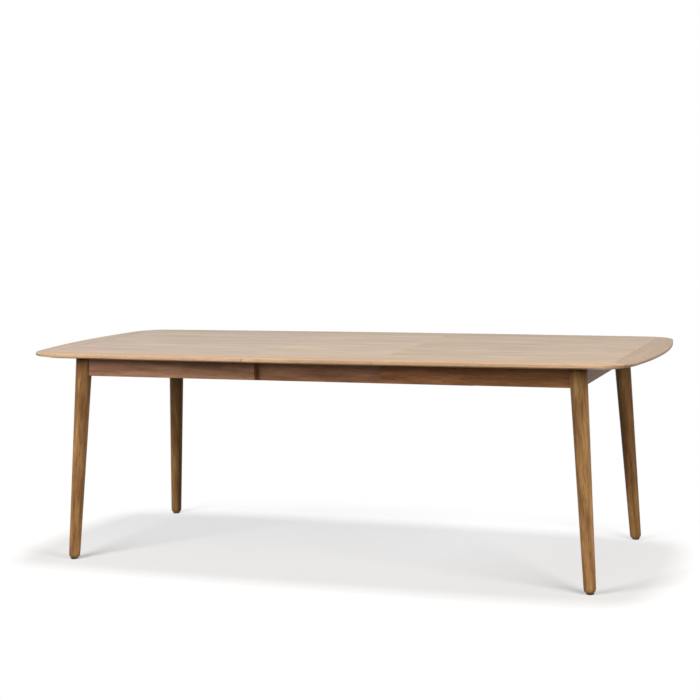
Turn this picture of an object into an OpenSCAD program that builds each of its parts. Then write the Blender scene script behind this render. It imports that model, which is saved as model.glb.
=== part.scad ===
// Extending dining table with one loose leaf, shown pulled out with the leaf in place.
// Each half of the table has its own board, aprons and two splayed legs. The halves run
// on a grooved frame between them, a pinion keeps them moving by equal amounts, and the
// leaf rests on that frame. Millimetres. The origin is on the floor under the middle of
// the table, X runs along the table, Y across it and Z up.

/* [Table] */
// Length of the table with the leaf in place
table_l = 2230; // [2130:10:2400]
// Width of the table at its middle
table_w = 1000; // [940:10:1080]
// Height of the table
table_h = 750; // [720:5:780]
// Width of the loose leaf, along the table
leaf_w = 460; // [400:10:500]

/* [Table top] */
// How far each long side bows out at its middle
side_bow = 28; // [16:1:40]
// How far each end bows out at its middle
end_bow = 55; // [35:1:75]
// Radius of the corners
corner_r = 114; // [90:1:140]
// Thickness of the boards
top_t = 20; // [18:1:26]
// Height of the edge above the bevel
edge_h = 9.5; // [8:0.5:12]
// Width of the bevel under the edge
bevel_w = 50; // [36:1:60]
// Rounding of the upper edge
edge_round = 2; // [1:0.5:3]
// Rounding between the edge and the bevel
edge_turn = 4; // [2:0.5:4.5]
// Width of the solid border round the field
border_w = 100; // [84:1:110]
// Gap between the leaf and each half
seam_gap = 0.4; // [0.3:0.1:0.8]
// Depth of the chamfer on each side of a seam
seam_chamfer = 0.7; // [0.4:0.1:1.2]

/* [Aprons] */
// Height of the aprons
apron_h = 66; // [60:1:76]
// Thickness of the aprons
apron_t = 22; // [18:1:25]
// Rounding along the lower edges of the aprons
apron_round = 2; // [1:0.5:4]

/* [Legs] */
// Diameter of a leg under the top
leg_top_d = 59; // [56:1:64]
// Diameter of a leg just above its rounded foot
leg_foot_d = 40.5; // [36:0.5:46]
// Distance from the end of the table to the axis of a leg, under the top
leg_end_inset = 219; // [190:1:240]
// Distance from the side of the table to the axis of a leg, under the top
leg_side_inset = 122; // [110:1:134]
// How far a foot stands out lengthways
splay_x = 45.5; // [30:0.5:60]
// How far a foot stands out sideways
splay_y = 44.5; // [30:0.5:60]
// Radius of the rounding of a foot
foot_round = 19; // [16:0.5:20]
// Distance from the axis of a leg to the ends of the aprons housed in it
apron_stop = 18; // [16:0.5:20]
// Distance from the axis of a leg to the flat that its corner block bears on
leg_flat = 20; // [19:0.5:22]

/* [Clips] */
// Width of the clips that hold the boards to the aprons
clip_w = 16; // [12:1:20]
// Thickness of the clips
clip_t = 2; // [1.5:0.5:2.5]
// Reach of a clip under its board
clip_reach = 22; // [20:1:28]
// Depth of a clip's tongue in its apron
clip_tongue = 7; // [5:0.5:8]
// Height from a clip's tongue to the board
clip_drop = 9; // [7:0.5:12]
// Clearance of the tongues in their slots
clip_play = 0.3; // [0.2:0.05:0.5]
// Distance between the clips of an end apron
clip_spacing = 230; // [180:5:260]
// Distance from a side apron's clip to the corner block
clip_gap = 12; // [4:1:20]

/* [Glides] */
// Diameter of a glide
glide_d = 26; // [22:1:27]
// Thickness of a glide
glide_t = 4.5; // [3:0.5:6]
// Diameter of a glide's stem
glide_stem_d = 5; // [4:0.5:6]
// Length of a glide's stem
glide_stem_l = 16; // [12:1:24]

/* [Corner blocks and bolts] */
// Height of a corner block
block_h = 50; // [46:1:54]
// Thickness of a corner block across its bolts
block_t = 34; // [28:1:40]
// Diameter of the leg bolts
bolt_d = 8; // [6:1:8]
// Depth of a leg bolt beyond the axis of its leg
bolt_depth = 12; // [8:1:16]
// Height between the two bolts of a leg
bolt_spacing = 26; // [22:1:28]
// Width of the bolts' nuts across their flats
nut_af = 13; // [12:0.5:14]
// Height of the bolts' nuts
nut_h = 6.5; // [5:0.5:8]
// Outer diameter of the bolts' washers
washer_d = 18; // [16:1:20]
// Thickness of the bolts' washers
washer_t = 1.6; // [1:0.2:2]

/* [Sliding frame] */
// Gap between an apron and the rail behind it
slide_gap = 2; // [1:0.5:4]
// Thickness of the rails
rail_t = 28; // [26:1:32]
// How far the rails reach below the aprons
rail_drop = 3.5; // [0:0.5:6]
// Length of rail inside each half
rail_overlap = 330; // [260:5:360]
// Rounding of the rails' lower ends
rail_end_r = 18; // [8:1:24]
// Gap between the rails and the boards above them
rail_top_gap = 2; // [1:0.5:3]
// Height of the groove in the rails
groove_h = 10; // [8:0.5:12]
// Depth of the groove in the rails
groove_depth = 10; // [7:0.5:11]
// Height from the middle of the groove to the boards
groove_drop = 18; // [16:0.5:20]
// Width of the runners
runner_w = 34; // [28:1:44]
// Height of the runners
runner_h = 34; // [30:1:36]
// Sliding clearance of the runners
slide_play = 0.3; // [0.2:0.05:0.5]
// Gap between a runner and its rail
runner_gap = 1; // [0.5:0.1:1.5]
// Distance from the end of a runner to the leg's axis
runner_leg_gap = 100; // [90:1:130]
// Outward travel that frees the leaf
release_travel = 30; // [10:1:40]
// Thickness of the cross rails
cross_t = 22; // [18:1:24]
// Width of the cross rails
cross_w = 60; // [50:1:80]
// Depth of the cross rails' housings in the rails
cross_housing = 10; // [6:1:14]
// Distance from the end of a rail to its cross rail's middle
cross_inset = 70; // [50:1:100]

/* [Pinion and racks] */
// Gear module: pitch diameter of the pinion for each tooth
gear_module = 2; // [1.8:0.1:2.2]
// Teeth of the pinion
pinion_teeth = 24; // [20:4:28]
// Thickness of the pinion's toothed rim
pinion_t = 12; // [10:1:14]
// Diameter of the pinion's hub
hub_d = 22; // [18:1:26]
// Height of the hub above and below the rim
hub_h = 2; // [1:0.5:3]
// Diameter of the pinion's axle
axle_d = 12; // [10:1:14]
// Play between meshing teeth
tooth_play = 0.3; // [0.2:0.05:0.5]
// Thickness of the racks
rack_t = 10; // [8:1:10]
// Width of a rack behind its teeth
rack_back = 13.5; // [12:0.5:18]
// Length of a rack screwed under its half
rack_fixed_l = 200; // [160:5:240]
// Thickness of the board that carries the pinion
gear_board_t = 18; // [16:1:20]
// Width of the board that carries the pinion
gear_board_w = 160; // [130:5:200]
// Length of the guides that keep the racks in mesh
guide_l = 50; // [40:2:60]
// Wall of the rack guides
guide_wall = 14; // [12:1:18]
// Depth of a rack in its guide
guide_hold = 8; // [6:0.5:10]

/* [Leaf] */
// Width of the leaf's battens
batten_w = 34; // [28:1:44]
// Height of the leaf's battens
batten_h = 18; // [14:1:20]
// Height of a batten at its tips
batten_tip_h = 6; // [4:1:10]
// Distance from a seam to the middle of a batten
batten_inset = 80; // [75:1:90]
// Diameter of the leaf's locating pins
pin_d = 8; // [6:0.5:8]
// How far a locating pin reaches below the leaf
pin_drop = 12; // [8:0.5:14]
// Clearance of a locating pin in its rail
pin_play = 0.3; // [0.2:0.05:0.5]
// Distance from a seam to a locating pin
pin_inset = 40; // [30:1:50]
// Length of a locating pin in the leaf
pin_hold = 12; // [8:1:14]
// Chamfer at the tip of a locating pin
pin_tip = 1.5; // [1:0.5:2]
// Diameter of the pads that the leaf rests on
pad_d = 18; // [12:1:22]
// Distance from a seam to a pad
pad_inset = 88; // [75:1:110]

/* [Latches] */
// Distance from the table's middle line to a latch
latch_y = 200; // [160:5:230]
// Distance from a seam to a latch's pivot
latch_set = 26; // [22:1:30]
// Distance from a latch's pivot to the stud that it hooks
latch_reach = 48; // [44:1:54]
// Width of a latch
latch_w = 22; // [20:1:24]
// Thickness of a latch
latch_t = 3; // [2:0.5:4]
// Gap between a latch and the board above it
latch_gap = 3; // [2:0.5:4]
// Diameter of the pivots and studs
stud_d = 6; // [5:0.5:7]
// Clearance of a stud in its hook
hook_play = 0.4; // [0.3:0.05:0.6]
// Height of a latch's finger tab
tab_h = 9; // [6:1:12]
// Thickness of the pivots' and studs' heads
head_t = 3; // [2:0.5:4]
// Gap between a hooked latch and the head of its stud
head_gap = 1.6; // [1:0.2:2]

/* [Screws] */
// Diameter of the wood screws
screw_d = 4; // [3.5:0.5:4.5]
// Depth of a screw in the boards
screw_bite = 13; // [10:0.5:15]
// Clearance of screws and pins in their holes
fit = 0.05; // [0.02:0.01:0.1]

/* [Hidden] */
$fn = 48;

// Finishes
pale_oak = "#cdbba5";
edge_oak = "#d3b592";
brown_oak = "#9a7350";
beech = "#c9a578";
steel = "#a9abad";
nylon = "#e4e2da";
dark_nylon = "#35302c";

// Main places
half_l = table_l / 2;
half_w = table_w / 2;
seam_x = leaf_w / 2;
board_x = seam_x + seam_gap / 2;
under_z = table_h - top_t;
field_x = half_l - border_w;
field_y = half_w - border_w;
beyond = table_w;
through = 1;

// Outline of the top: four shallow arcs, joined by corner arcs tangent to both
side_steps = 12;
corner_steps = 12;
end_steps = 16;
round_steps = 3;
side_r = (half_l * half_l + side_bow * side_bow) / (2 * side_bow);
end_r = (half_w * half_w + end_bow * end_bow) / (2 * end_bow);
side_centre = [0, side_r - half_w];
end_centre = [half_l - end_r, 0];
corner_centre = meeting_point(side_centre, side_r - corner_r, end_centre, end_r - corner_r);
side_angle = direction(corner_centre - side_centre);
end_angle = direction(corner_centre - end_centre);

// Legs and aprons
leg_x = half_l - leg_end_inset;
leg_y = half_w - leg_side_inset;
foot = [leg_x + splay_x, -(leg_y + splay_y), 0];
leg_lean = [-splay_x, splay_y, under_z];
leg_l = norm(leg_lean);
apron_z = under_z - apron_h;
apron_y = leg_y + splay_y * apron_h / 2 / under_z;
apron_x = leg_x + splay_x * apron_h / 2 / under_z;
block_z = under_z - (apron_h + block_h) / 2;
bolt_z = under_z - apron_h / 2;
nut_start = leg_flat + block_t + washer_t;
bolt_end = nut_start + nut_h + bolt_d / 2;
inner_y = apron_y - apron_t / 2;
inner_x = apron_x - apron_t / 2;
block_outer = leg_x + leg_y - leg_flat * sqrt(2);
block_inner = block_outer - block_t * sqrt(2);

// Sliding frame
rail_y = inner_y - slide_gap;
rail_inner_y = rail_y - rail_t;
rail_z = apron_z - rail_drop;
rail_top = under_z - rail_top_gap;
rail_x = seam_x + rail_overlap;
groove_z = under_z - groove_drop;
runner_x = seam_x + slide_gap;
runner_end = leg_x - runner_leg_gap;
runner_y = rail_inner_y - runner_gap;
tongue_y = rail_inner_y + groove_depth - runner_gap;
cross_x = rail_x - cross_inset;
cross_z = rail_z + slide_gap;
runner_screw_x = [for (share = [0.1, 0.5, 0.9]) runner_x + share * (runner_end - runner_x)];
runner_screw_y = runner_y - runner_w / 2;
counterbore = 12;
runner_screw_l = runner_h + screw_bite - counterbore;
side_clip_x = block_inner - inner_y - clip_gap - clip_w / 2;
clip_web = 2;

// Pinion and racks
pressure_angle = 20;
pitch_r = gear_module * pinion_teeth / 2;
tooth_pitch = gear_module * PI;
root_depth = 1.25 * gear_module;
board_top = cross_z + gear_board_t;
thrust_t = 1.6;
axial_play = 0.4;
pinion_z = board_top + thrust_t + axial_play;
rim_z = pinion_z + hub_h;
rack_z = rim_z + (pinion_t - rack_t) / 2;
rack_root_y = pitch_r + root_depth;
rack_back_y = rack_root_y + rack_back;
rack_end = seam_x + rack_fixed_l;
rack_toothed_x = seam_x + release_travel;
stop_d = 7;
stop_x = -(guide_l / 2 + release_travel + stop_d / 2 + slide_play);
rack_tip = stop_x - stop_d;
rack_axis_y = (rack_root_y + rack_back_y) / 2;
rack_screw_x = [seam_x + 0.35 * rack_fixed_l, seam_x + 0.85 * rack_fixed_l];
rack_block_x = seam_x + 0.2 * rack_fixed_l;
guide_lip = 4;
guide_y = rack_back_y + axial_play;
guide_top = rack_z + rack_t + slide_play + guide_lip;
guide_screw_l = guide_top - board_top + screw_bite;
axle_recess = 9;
stop_y = rack_back_y - stop_d / 2;

// Leaf
leaf_half = seam_x - seam_gap / 2;
pin_y = rail_y - pin_d - slide_gap;
pin_x = seam_x - pin_inset;
pad_x = seam_x - pad_inset;
pad_y = rail_y - rail_t / 2;
batten_x = seam_x - batten_inset;
batten_l = 2 * (rail_inner_y - runner_w);
batten_screw_y = 0.4 * batten_l;
batten_screw_l = batten_h + screw_bite;

// Latches
pivot_x = seam_x + latch_set;
stud_x = pivot_x - latch_reach;
latch_z = under_z - latch_gap - latch_t;
head_d = 2 * stud_d;

// Direction of a vector, in degrees
function direction(v) = atan2(v.y, v.x);

// The right-hand meeting point of two circles
function meeting_point(a, ra, b, rb) =
    let (d = norm(b - a), u = (b - a) / d, along = (ra * ra - rb * rb + d * d) / (2 * d),
         across = sqrt(ra * ra - along * along))
    a + u * along + [-u.y, u.x] * across;

// Points along an arc, without its last one
function arc(centre, r, from, to, steps) =
    [for (i = [0 : steps - 1]) let (a = from + (to - from) * i / steps)
        centre + r * [cos(a), sin(a)]];

// Right-hand half of the outline of the top, a given distance inside its edge
function right_outline(inset) = concat(
    arc(side_centre, side_r - inset, -90, side_angle, side_steps),
    arc(corner_centre, corner_r - inset, side_angle, end_angle, corner_steps),
    arc(end_centre, end_r - inset, end_angle, -end_angle, end_steps),
    arc([corner_centre.x, -corner_centre.y], corner_r - inset, -end_angle, -side_angle, corner_steps),
    arc([side_centre.x, -side_centre.y], side_r - inset, -side_angle, 90, side_steps));

function top_outline(inset) = let (right = right_outline(inset)) concat(right, right * -1);

// Outline of the right-hand half of the top, closed across its middle
function half_outline(inset) = concat(right_outline(inset), [[0, half_w - inset]]);

// Inset and height of each line round the edge, from the underside to the top face
turn_angle = 90 - atan2(top_t - edge_h, bevel_w);
turn_z = table_h - edge_h + edge_turn * tan(turn_angle / 2);
edge_lines = concat(
    [[bevel_w, under_z]],
    [for (i = [0 : round_steps]) let (a = turn_angle * (1 - i / round_steps))
        [edge_turn * (1 - cos(a)), turn_z - edge_turn * sin(a)]],
    [for (i = [0 : round_steps]) let (a = 90 * i / round_steps)
        [edge_round * (1 - cos(a)), table_h - edge_round * (1 - sin(a))]]);

// Board lofted through rings of points, from its underside to its top face
module lofted_board(rings) {
    n = len(rings[0]);
    last = len(rings) - 1;
    polyhedron(
        points = [for (ring = rings) each ring],
        faces = concat(
            [[for (i = [0 : n - 1]) i]],
            [for (k = [0 : last - 1], i = [0 : n - 1]) let (j = (i + 1) % n)
                [k * n + i, (k + 1) * n + i, (k + 1) * n + j, k * n + j]],
            [[for (i = [n - 1 : -1 : 0]) last * n + i]]));
}

module whole_top() {
    lofted_board([for (line = edge_lines) [for (p = top_outline(line[0])) [p.x, p.y, line[1]]]]);
}

module half_top() {
    lofted_board([for (line = edge_lines) [for (p = half_outline(line[0])) [p.x, p.y, line[1]]]]);
}

// The part of a board over an area
module board_over(area) {
    difference() {
        intersection() {
            children();
            translate([0, 0, under_z - through])
                linear_extrude(top_t + 2 * through)
                    polygon(area);
        }
        seam_chamfers();
    }
}

// V-shaped relief along both seams
module seam_chamfers() {
    for (x = [-seam_x, seam_x])
        translate([x, 0, table_h])
            rotate([0, 45, 0])
                cube([sqrt(2) * seam_chamfer, beyond + table_w, sqrt(2) * seam_chamfer], center = true);
}

// Wood screw standing on its head, with an optional clearance all round
module screw(length, play = 0) {
    head_r = screw_d + play;
    shank_r = screw_d / 2 + play;
    rotate_extrude()
        polygon([[0, -play], [head_r, -play], [head_r, 0], [shank_r, head_r - shank_r],
            [shank_r, length - screw_d / 2], [0, length + play]]);
}

// Bar along X with rounded lower edges: outer size across and up, lower corner at the origin
module apron_bar(length) {
    rotate([90, 0, 90])
        linear_extrude(length)
            polygon(concat(
                arc([apron_round, apron_round], apron_round, 180, 270, 6),
                arc([apron_t - apron_round, apron_round], apron_round, 270, 360, 6),
                [[apron_t, apron_round], [apron_t, apron_h], [0, apron_h]]));
}

// ---- One half of the table, drawn on the right ----

module half_field() {
    difference() {
        translate([board_x, -field_y, under_z])
            cube([field_x - board_x, 2 * field_y, top_t]);
        seam_chamfers();
        half_screws(fit);
    }
}

module half_front_border() {
    color(edge_oak)
        board_over([[board_x, -field_y], [board_x, -beyond], [field_x + beyond - field_y, -beyond],
            [field_x, -field_y]])
            half_top();
}

module half_end_border() {
    color(edge_oak)
        board_over([[field_x, -field_y], [field_x + beyond - field_y, -beyond],
            [field_x + beyond - field_y, beyond], [field_x, field_y]])
            half_top();
}

module half_front_apron() {
    color(brown_oak)
        difference() {
            translate([seam_x, -apron_y - apron_t / 2, apron_z])
                apron_bar(leg_x - apron_stop - seam_x);
            at_clips()
                clip_slot();
        }
}

module half_end_apron() {
    color(brown_oak)
        difference() {
            translate([apron_x - apron_t / 2, leg_y - apron_stop, apron_z])
                rotate(-90)
                    apron_bar(2 * (leg_y - apron_stop));
            at_clips()
                clip_slot();
        }
}

// Places of the clips of a half: one in each side apron, next to the corner block and beyond
// the reach of the rails when the table is closed, and three in the end apron
module at_clips() {
    for (turn = [-1, 1])
        translate([side_clip_x, turn * inner_y, under_z])
            rotate(-90 * turn)
                children();
    for (y = [-clip_spacing, 0, clip_spacing])
        translate([inner_x, y, under_z])
            rotate(180)
                children();
}

// Clip bent from steel strip, reaching inwards along X from the face of its apron
module board_clip() {
    rotate([90, 0, 0])
        translate([0, 0, -clip_w / 2])
            linear_extrude(clip_w)
                polygon([[-clip_tongue, -clip_drop - clip_t], [clip_web + clip_t, -clip_drop - clip_t],
                    [clip_web + clip_t, -clip_t], [clip_reach, -clip_t], [clip_reach, 0], [clip_web, 0],
                    [clip_web, -clip_drop], [-clip_tongue, -clip_drop]]);
}

module clip_slot() {
    translate([-clip_tongue - clip_play, -clip_w / 2 - clip_play, -clip_drop - clip_t - clip_play])
        cube([clip_tongue + clip_play + clip_web, clip_w + 2 * clip_play, clip_t + 2 * clip_play]);
}

module clip_screw(play = 0) {
    translate([(clip_web + clip_t + clip_reach) / 2, 0, -clip_t])
        screw(clip_t + screw_bite, play);
}

module half_clips() {
    color(steel)
        difference() {
            at_clips()
                board_clip();
            half_screws(fit);
        }
}

// Radius of a leg at a distance along its axis from the floor
function leg_r(along) = (leg_foot_d + (leg_top_d - leg_foot_d) * along / leg_l) / 2;

// Turned leg along Z with a rounded foot, longer than it ends up
module turned_leg() {
    shoulder = leg_r(foot_round);
    rotate_extrude()
        polygon(concat(
            [[0, 0]],
            arc([shoulder - foot_round, foot_round], foot_round, -90, 0, 12),
            [[shoulder, foot_round], [leg_r(leg_l + top_t), leg_l + top_t], [0, leg_l + top_t]]));
}

// Turned leg set at its splay, sawn level at both ends and cut to take the aprons and block
module half_front_leg() {
    color(brown_oak)
        difference() {
            translate(foot)
                rotate([0, acos(leg_lean.z / leg_l), direction(leg_lean)])
                    turned_leg();
            translate([foot.x - leg_top_d, foot.y - leg_top_d, glide_t - leg_top_d])
                cube([2 * leg_top_d, 2 * leg_top_d, leg_top_d]);
            translate([leg_x - leg_top_d, -leg_y - leg_top_d, under_z])
                cube([2 * leg_top_d, 2 * leg_top_d, 2 * top_t]);
            translate([seam_x, -apron_y - apron_t / 2, apron_z])
                cube([leg_x - apron_stop - seam_x, apron_t, apron_h + top_t]);
            translate([apron_x - apron_t / 2, -leg_y + apron_stop, apron_z])
                cube([apron_t, leg_y, apron_h + top_t]);
            translate([leg_x, -leg_y, apron_z])
                rotate(135)
                    translate([leg_flat, -leg_top_d, 0])
                        cube([leg_top_d, 2 * leg_top_d, apron_h + top_t]);
            leg_bolt_pair(fit);
            glide(fit);
        }
}

// Two leg bolts through the front corner block, with an optional clearance
module leg_bolt_pair(play = 0) {
    for (side = [-1, 1])
        translate([leg_x, -leg_y, bolt_z + side * bolt_spacing / 2])
            rotate([0, 90, 135])
                translate([0, 0, -bolt_depth - play])
                    cylinder(h = bolt_end + bolt_depth + 2 * play, d = bolt_d + 2 * play);
}

module leg_nut_pair() {
    for (side = [-1, 1])
        translate([leg_x, -leg_y, bolt_z + side * bolt_spacing / 2])
            rotate([0, 90, 135]) {
                translate([0, 0, nut_start - washer_t])
                    difference() {
                        cylinder(h = washer_t, d = washer_d);
                        translate([0, 0, -through])
                            cylinder(h = washer_t + 2 * through, d = bolt_d + 4 * fit);
                    }
                translate([0, 0, nut_start])
                    difference() {
                        cylinder(h = nut_h, d = nut_af / cos(30), $fn = 6);
                        translate([0, 0, -through])
                            cylinder(h = nut_h + 2 * through, d = bolt_d + 2 * fit);
                    }
            }
}

// Diagonal block between the two aprons, with bores for the leg bolts
module front_corner_block() {
    difference() {
        translate([0, 0, block_z])
            linear_extrude(block_h)
                polygon([[block_outer - inner_y, -inner_y], [inner_x, inner_x - block_outer],
                    [inner_x, inner_x - block_inner], [block_inner - inner_y, -inner_y]]);
        leg_bolt_pair(2 * fit);
    }
}

module front_and_back() {
    children();
    mirror([0, 1, 0])
        children();
}

module half_corner_blocks() {
    color(beech)
        front_and_back()
            front_corner_block();
}

module half_leg_bolts() {
    color(steel)
        front_and_back()
            leg_bolt_pair();
}

module half_leg_nuts() {
    color(steel)
        front_and_back()
            leg_nut_pair();
}

// Domed glide with a stem that goes up into the foot
module glide(play = 0) {
    flat_r = glide_d / 2 - glide_t / 2;
    translate([foot.x, foot.y, 0])
        rotate_extrude()
            polygon(concat(
                [[0, 0]],
                arc([flat_r, glide_t / 2], glide_t / 2, -90, 0, 6),
                [[glide_d / 2, glide_t / 2], [glide_d / 2, glide_t], [glide_stem_d / 2 + play, glide_t],
                    [glide_stem_d / 2 + play, glide_t + glide_stem_l + play],
                    [0, glide_t + glide_stem_l + play]]));
}

module half_glides() {
    color(dark_nylon)
        front_and_back()
            glide();
}

// Runner bar under the half, with the tongue that slides in the rail's groove
module half_runners() {
    tongue_h = groove_h - 2 * slide_play;
    color(beech)
        difference() {
            front_and_back()
                translate([runner_x, 0, 0])
                    rotate([90, 0, 90])
                        linear_extrude(runner_end - runner_x)
                            polygon([[-runner_y, under_z - runner_h],
                                [-runner_y + runner_w, under_z - runner_h],
                                [-runner_y + runner_w, under_z], [-runner_y, under_z],
                                [-runner_y, groove_z + tongue_h / 2], [-tongue_y, groove_z + tongue_h / 2],
                                [-tongue_y, groove_z - tongue_h / 2], [-runner_y, groove_z - tongue_h / 2]]);
            half_screws(fit);
            front_and_back()
                for (x = runner_screw_x)
                    translate([x, -runner_screw_y, under_z - runner_h - through])
                        cylinder(h = counterbore + through, r = screw_d + 4 * fit);
        }
}

// All screws of a half: three in each runner, one in each clip, two in the rack and its stop
module half_screws(play = 0) {
    color(steel) {
        front_and_back()
            for (x = runner_screw_x)
                translate([x, -runner_screw_y, under_z - runner_h + counterbore])
                    screw(runner_screw_l, play);
        at_clips()
            clip_screw(play);
        for (x = rack_screw_x)
            translate([x, rack_axis_y, rack_z])
                screw(under_z - rack_z + screw_bite, play);
        rack_stop(play);
    }
}

// Headed stop on the rack, which meets the end of its guide
module rack_stop(play = 0) {
    translate([stop_x, stop_y, rack_z])
        cylinder(h = rack_t, d = screw_d + 2 * play);
    translate([stop_x, stop_y, rack_z + rack_t])
        cylinder(h = guide_lip + slide_play, d = stop_d);
}

module half_rack_block() {
    color(beech)
        difference() {
            translate([rack_block_x, rack_root_y, rack_z + rack_t])
                cube([rack_end - rack_block_x, rack_back, under_z - rack_z - rack_t]);
            half_screws(fit);
        }
}

// Width of half a rack tooth, at a distance from the pitch line towards its root
function half_tooth(depth) = tooth_pitch / 4 - tooth_play / 4 + depth * tan(pressure_angle);

// Toothed bar, its teeth facing the pinion
module half_rack() {
    tip_y = pitch_r - gear_module;
    first = ceil((rack_tip + tooth_pitch / 2) / tooth_pitch - 0.5);
    last = floor((rack_toothed_x - tooth_pitch / 2) / tooth_pitch - 0.5);
    color(steel)
        difference() {
            translate([0, 0, rack_z])
                linear_extrude(rack_t)
                    polygon(concat(
                        [[rack_tip, rack_back_y], [rack_tip, rack_root_y]],
                        [for (k = [first : last], corner = [0 : 3])
                            let (x = (k + 0.5) * tooth_pitch, side = corner < 2 ? -1 : 1,
                                 tip = corner == 1 || corner == 2)
                            [x + side * half_tooth(tip ? -gear_module : root_depth),
                             tip ? tip_y : rack_root_y]],
                        [[rack_end, rack_root_y], [rack_end, rack_back_y]]));
            half_screws(fit);
        }
}

// Hooked plate that swings about its pivot, drawn closed along X from the pivot
module latch_plate() {
    hook_r = stud_d / 2 + hook_play;
    difference() {
        union() {
            for (x = [0, latch_reach])
                translate([x, 0, 0])
                    cylinder(h = latch_t, d = latch_w);
            translate([0, -latch_w / 2, 0])
                cube([latch_reach, latch_w, latch_t]);
            translate([latch_reach + latch_w / 2 - 1.5 * latch_t, -latch_w / 4, -tab_h])
                cube([latch_t, latch_w / 2, tab_h + latch_t]);
        }
        translate([0, 0, -through]) {
            cylinder(h = latch_t + 2 * through, d = stud_d + 2 * fit);
            translate([latch_reach, 0, 0])
                cylinder(h = latch_t + 2 * through, r = hook_r);
            intersection() {
                difference() {
                    cylinder(h = latch_t + 2 * through, r = latch_reach + hook_r, $fn = 96);
                    translate([0, 0, -through])
                        cylinder(h = latch_t + 4 * through, r = latch_reach - hook_r, $fn = 96);
                }
                cube([latch_reach + latch_w, latch_w, latch_t + 2 * through]);
            }
        }
    }
}

// Latch of a left half, hanging open
module front_latch() {
    color(steel)
        translate([-pivot_x, -latch_y, latch_z])
            mirror([1, 0, 0])
                rotate(90)
                    latch_plate();
}

// Shouldered pivot screws that carry the latches
module latch_pivots(play = 0) {
    shank_r = stud_d / 2;
    bottom = latch_z - slide_play - head_t;
    color(steel)
        front_and_back()
            translate([-pivot_x, -latch_y, 0])
                rotate_extrude()
                    polygon([[0, bottom], [head_d / 2, bottom], [head_d / 2, bottom + head_t],
                        [shank_r, bottom + head_t], [shank_r, latch_z + latch_t + slide_play],
                        [head_d / 2, latch_z + latch_t + slide_play], [head_d / 2, under_z],
                        [screw_d / 2 + play, under_z], [screw_d / 2 + play, under_z + screw_bite + play],
                        [0, under_z + screw_bite + play]]);
}

// ---- Frame between the halves ----

// Grooved rail with rounded lower ends, housed for the cross rails and bored for the pins
module front_rail_shape() {
    groove_low = groove_z - groove_h / 2;
    groove_high = groove_z + groove_h / 2;
    difference() {
        intersection() {
            translate([-rail_x, 0, 0])
                rotate([90, 0, 90])
                    linear_extrude(2 * rail_x)
                        polygon([[-rail_y, rail_z], [-rail_inner_y, rail_z], [-rail_inner_y, groove_low],
                            [-rail_inner_y - groove_depth, groove_low],
                            [-rail_inner_y - groove_depth, groove_high],
                            [-rail_inner_y, groove_high], [-rail_inner_y, rail_top], [-rail_y, rail_top]]);
            rotate([90, 0, 0])
                linear_extrude(table_w)
                    polygon(concat(
                        arc([rail_end_r - rail_x, rail_z + rail_end_r], rail_end_r, 180, 270, 8),
                        arc([rail_x - rail_end_r, rail_z + rail_end_r], rail_end_r, 270, 360, 8),
                        [[rail_x, rail_z + rail_end_r], [rail_x, rail_top], [-rail_x, rail_top]]));
        }
        cross_rail_block(-cross_x);
        cross_rail_block(cross_x);
        gear_board_block();
        for (x = [-pin_x, pin_x])
            translate([x, -pin_y, under_z - pin_drop - slide_gap])
                cylinder(h = pin_drop + slide_gap, d = pin_d + 2 * pin_play);
    }
}

module front_rail() {
    color(brown_oak)
        front_rail_shape();
}

module back_rail() {
    color(brown_oak)
        mirror([0, 1, 0])
            front_rail_shape();
}

// A board across the frame, its ends housed in the rails
module cross_board(x, width, thickness) {
    reach = rail_inner_y + cross_housing;
    translate([x - width / 2, -reach, cross_z])
        cube([width, 2 * reach, thickness]);
}

module cross_rail_block(x) {
    cross_board(x, cross_w, cross_t);
}

module gear_board_block() {
    cross_board(0, gear_board_w, gear_board_t);
}

module left_cross_rail() {
    color(beech)
        cross_rail_block(-cross_x);
}

module right_cross_rail() {
    color(beech)
        cross_rail_block(cross_x);
}

module gear_board() {
    color(beech)
        difference() {
            gear_board_block();
            frame_screws(fit);
            axle_bolt(fit);
            translate([0, 0, cross_z - through])
                cylinder(h = axle_recess + through, d = washer_d + 1);
        }
}

// Channel blocks on the board, which keep each rack against the pinion
module rack_guides() {
    inside_y = guide_y - guide_hold;
    color(nylon)
        difference() {
            for (turn = [0, 180])
                rotate(turn)
                    translate([-guide_l / 2, 0, 0])
                        rotate([90, 0, 90])
                            linear_extrude(guide_l)
                                polygon([[inside_y, board_top], [guide_y + guide_wall, board_top],
                                    [guide_y + guide_wall, guide_top], [inside_y, guide_top],
                                    [inside_y, guide_top - guide_lip], [guide_y, guide_top - guide_lip],
                                    [guide_y, rack_z - slide_play], [inside_y, rack_z - slide_play]]);
            frame_screws(fit);
        }
}

// Screws that hold the rack guides down
module frame_screws(play = 0) {
    color(steel)
        for (turn = [0, 180], x = [-guide_l / 4, guide_l / 4])
            rotate(turn)
                translate([x, guide_y + guide_wall / 2, guide_top])
                    rotate([180, 0, 0])
                        screw(guide_screw_l, play);
}

// Threaded end of the axle, through the board
module axle_bolt(play = 0) {
    translate([0, 0, cross_z + axle_recess - nut_h - play])
        cylinder(h = gear_board_t - axle_recess + nut_h + 2 * play, d = bolt_d + 2 * play);
}

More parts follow.
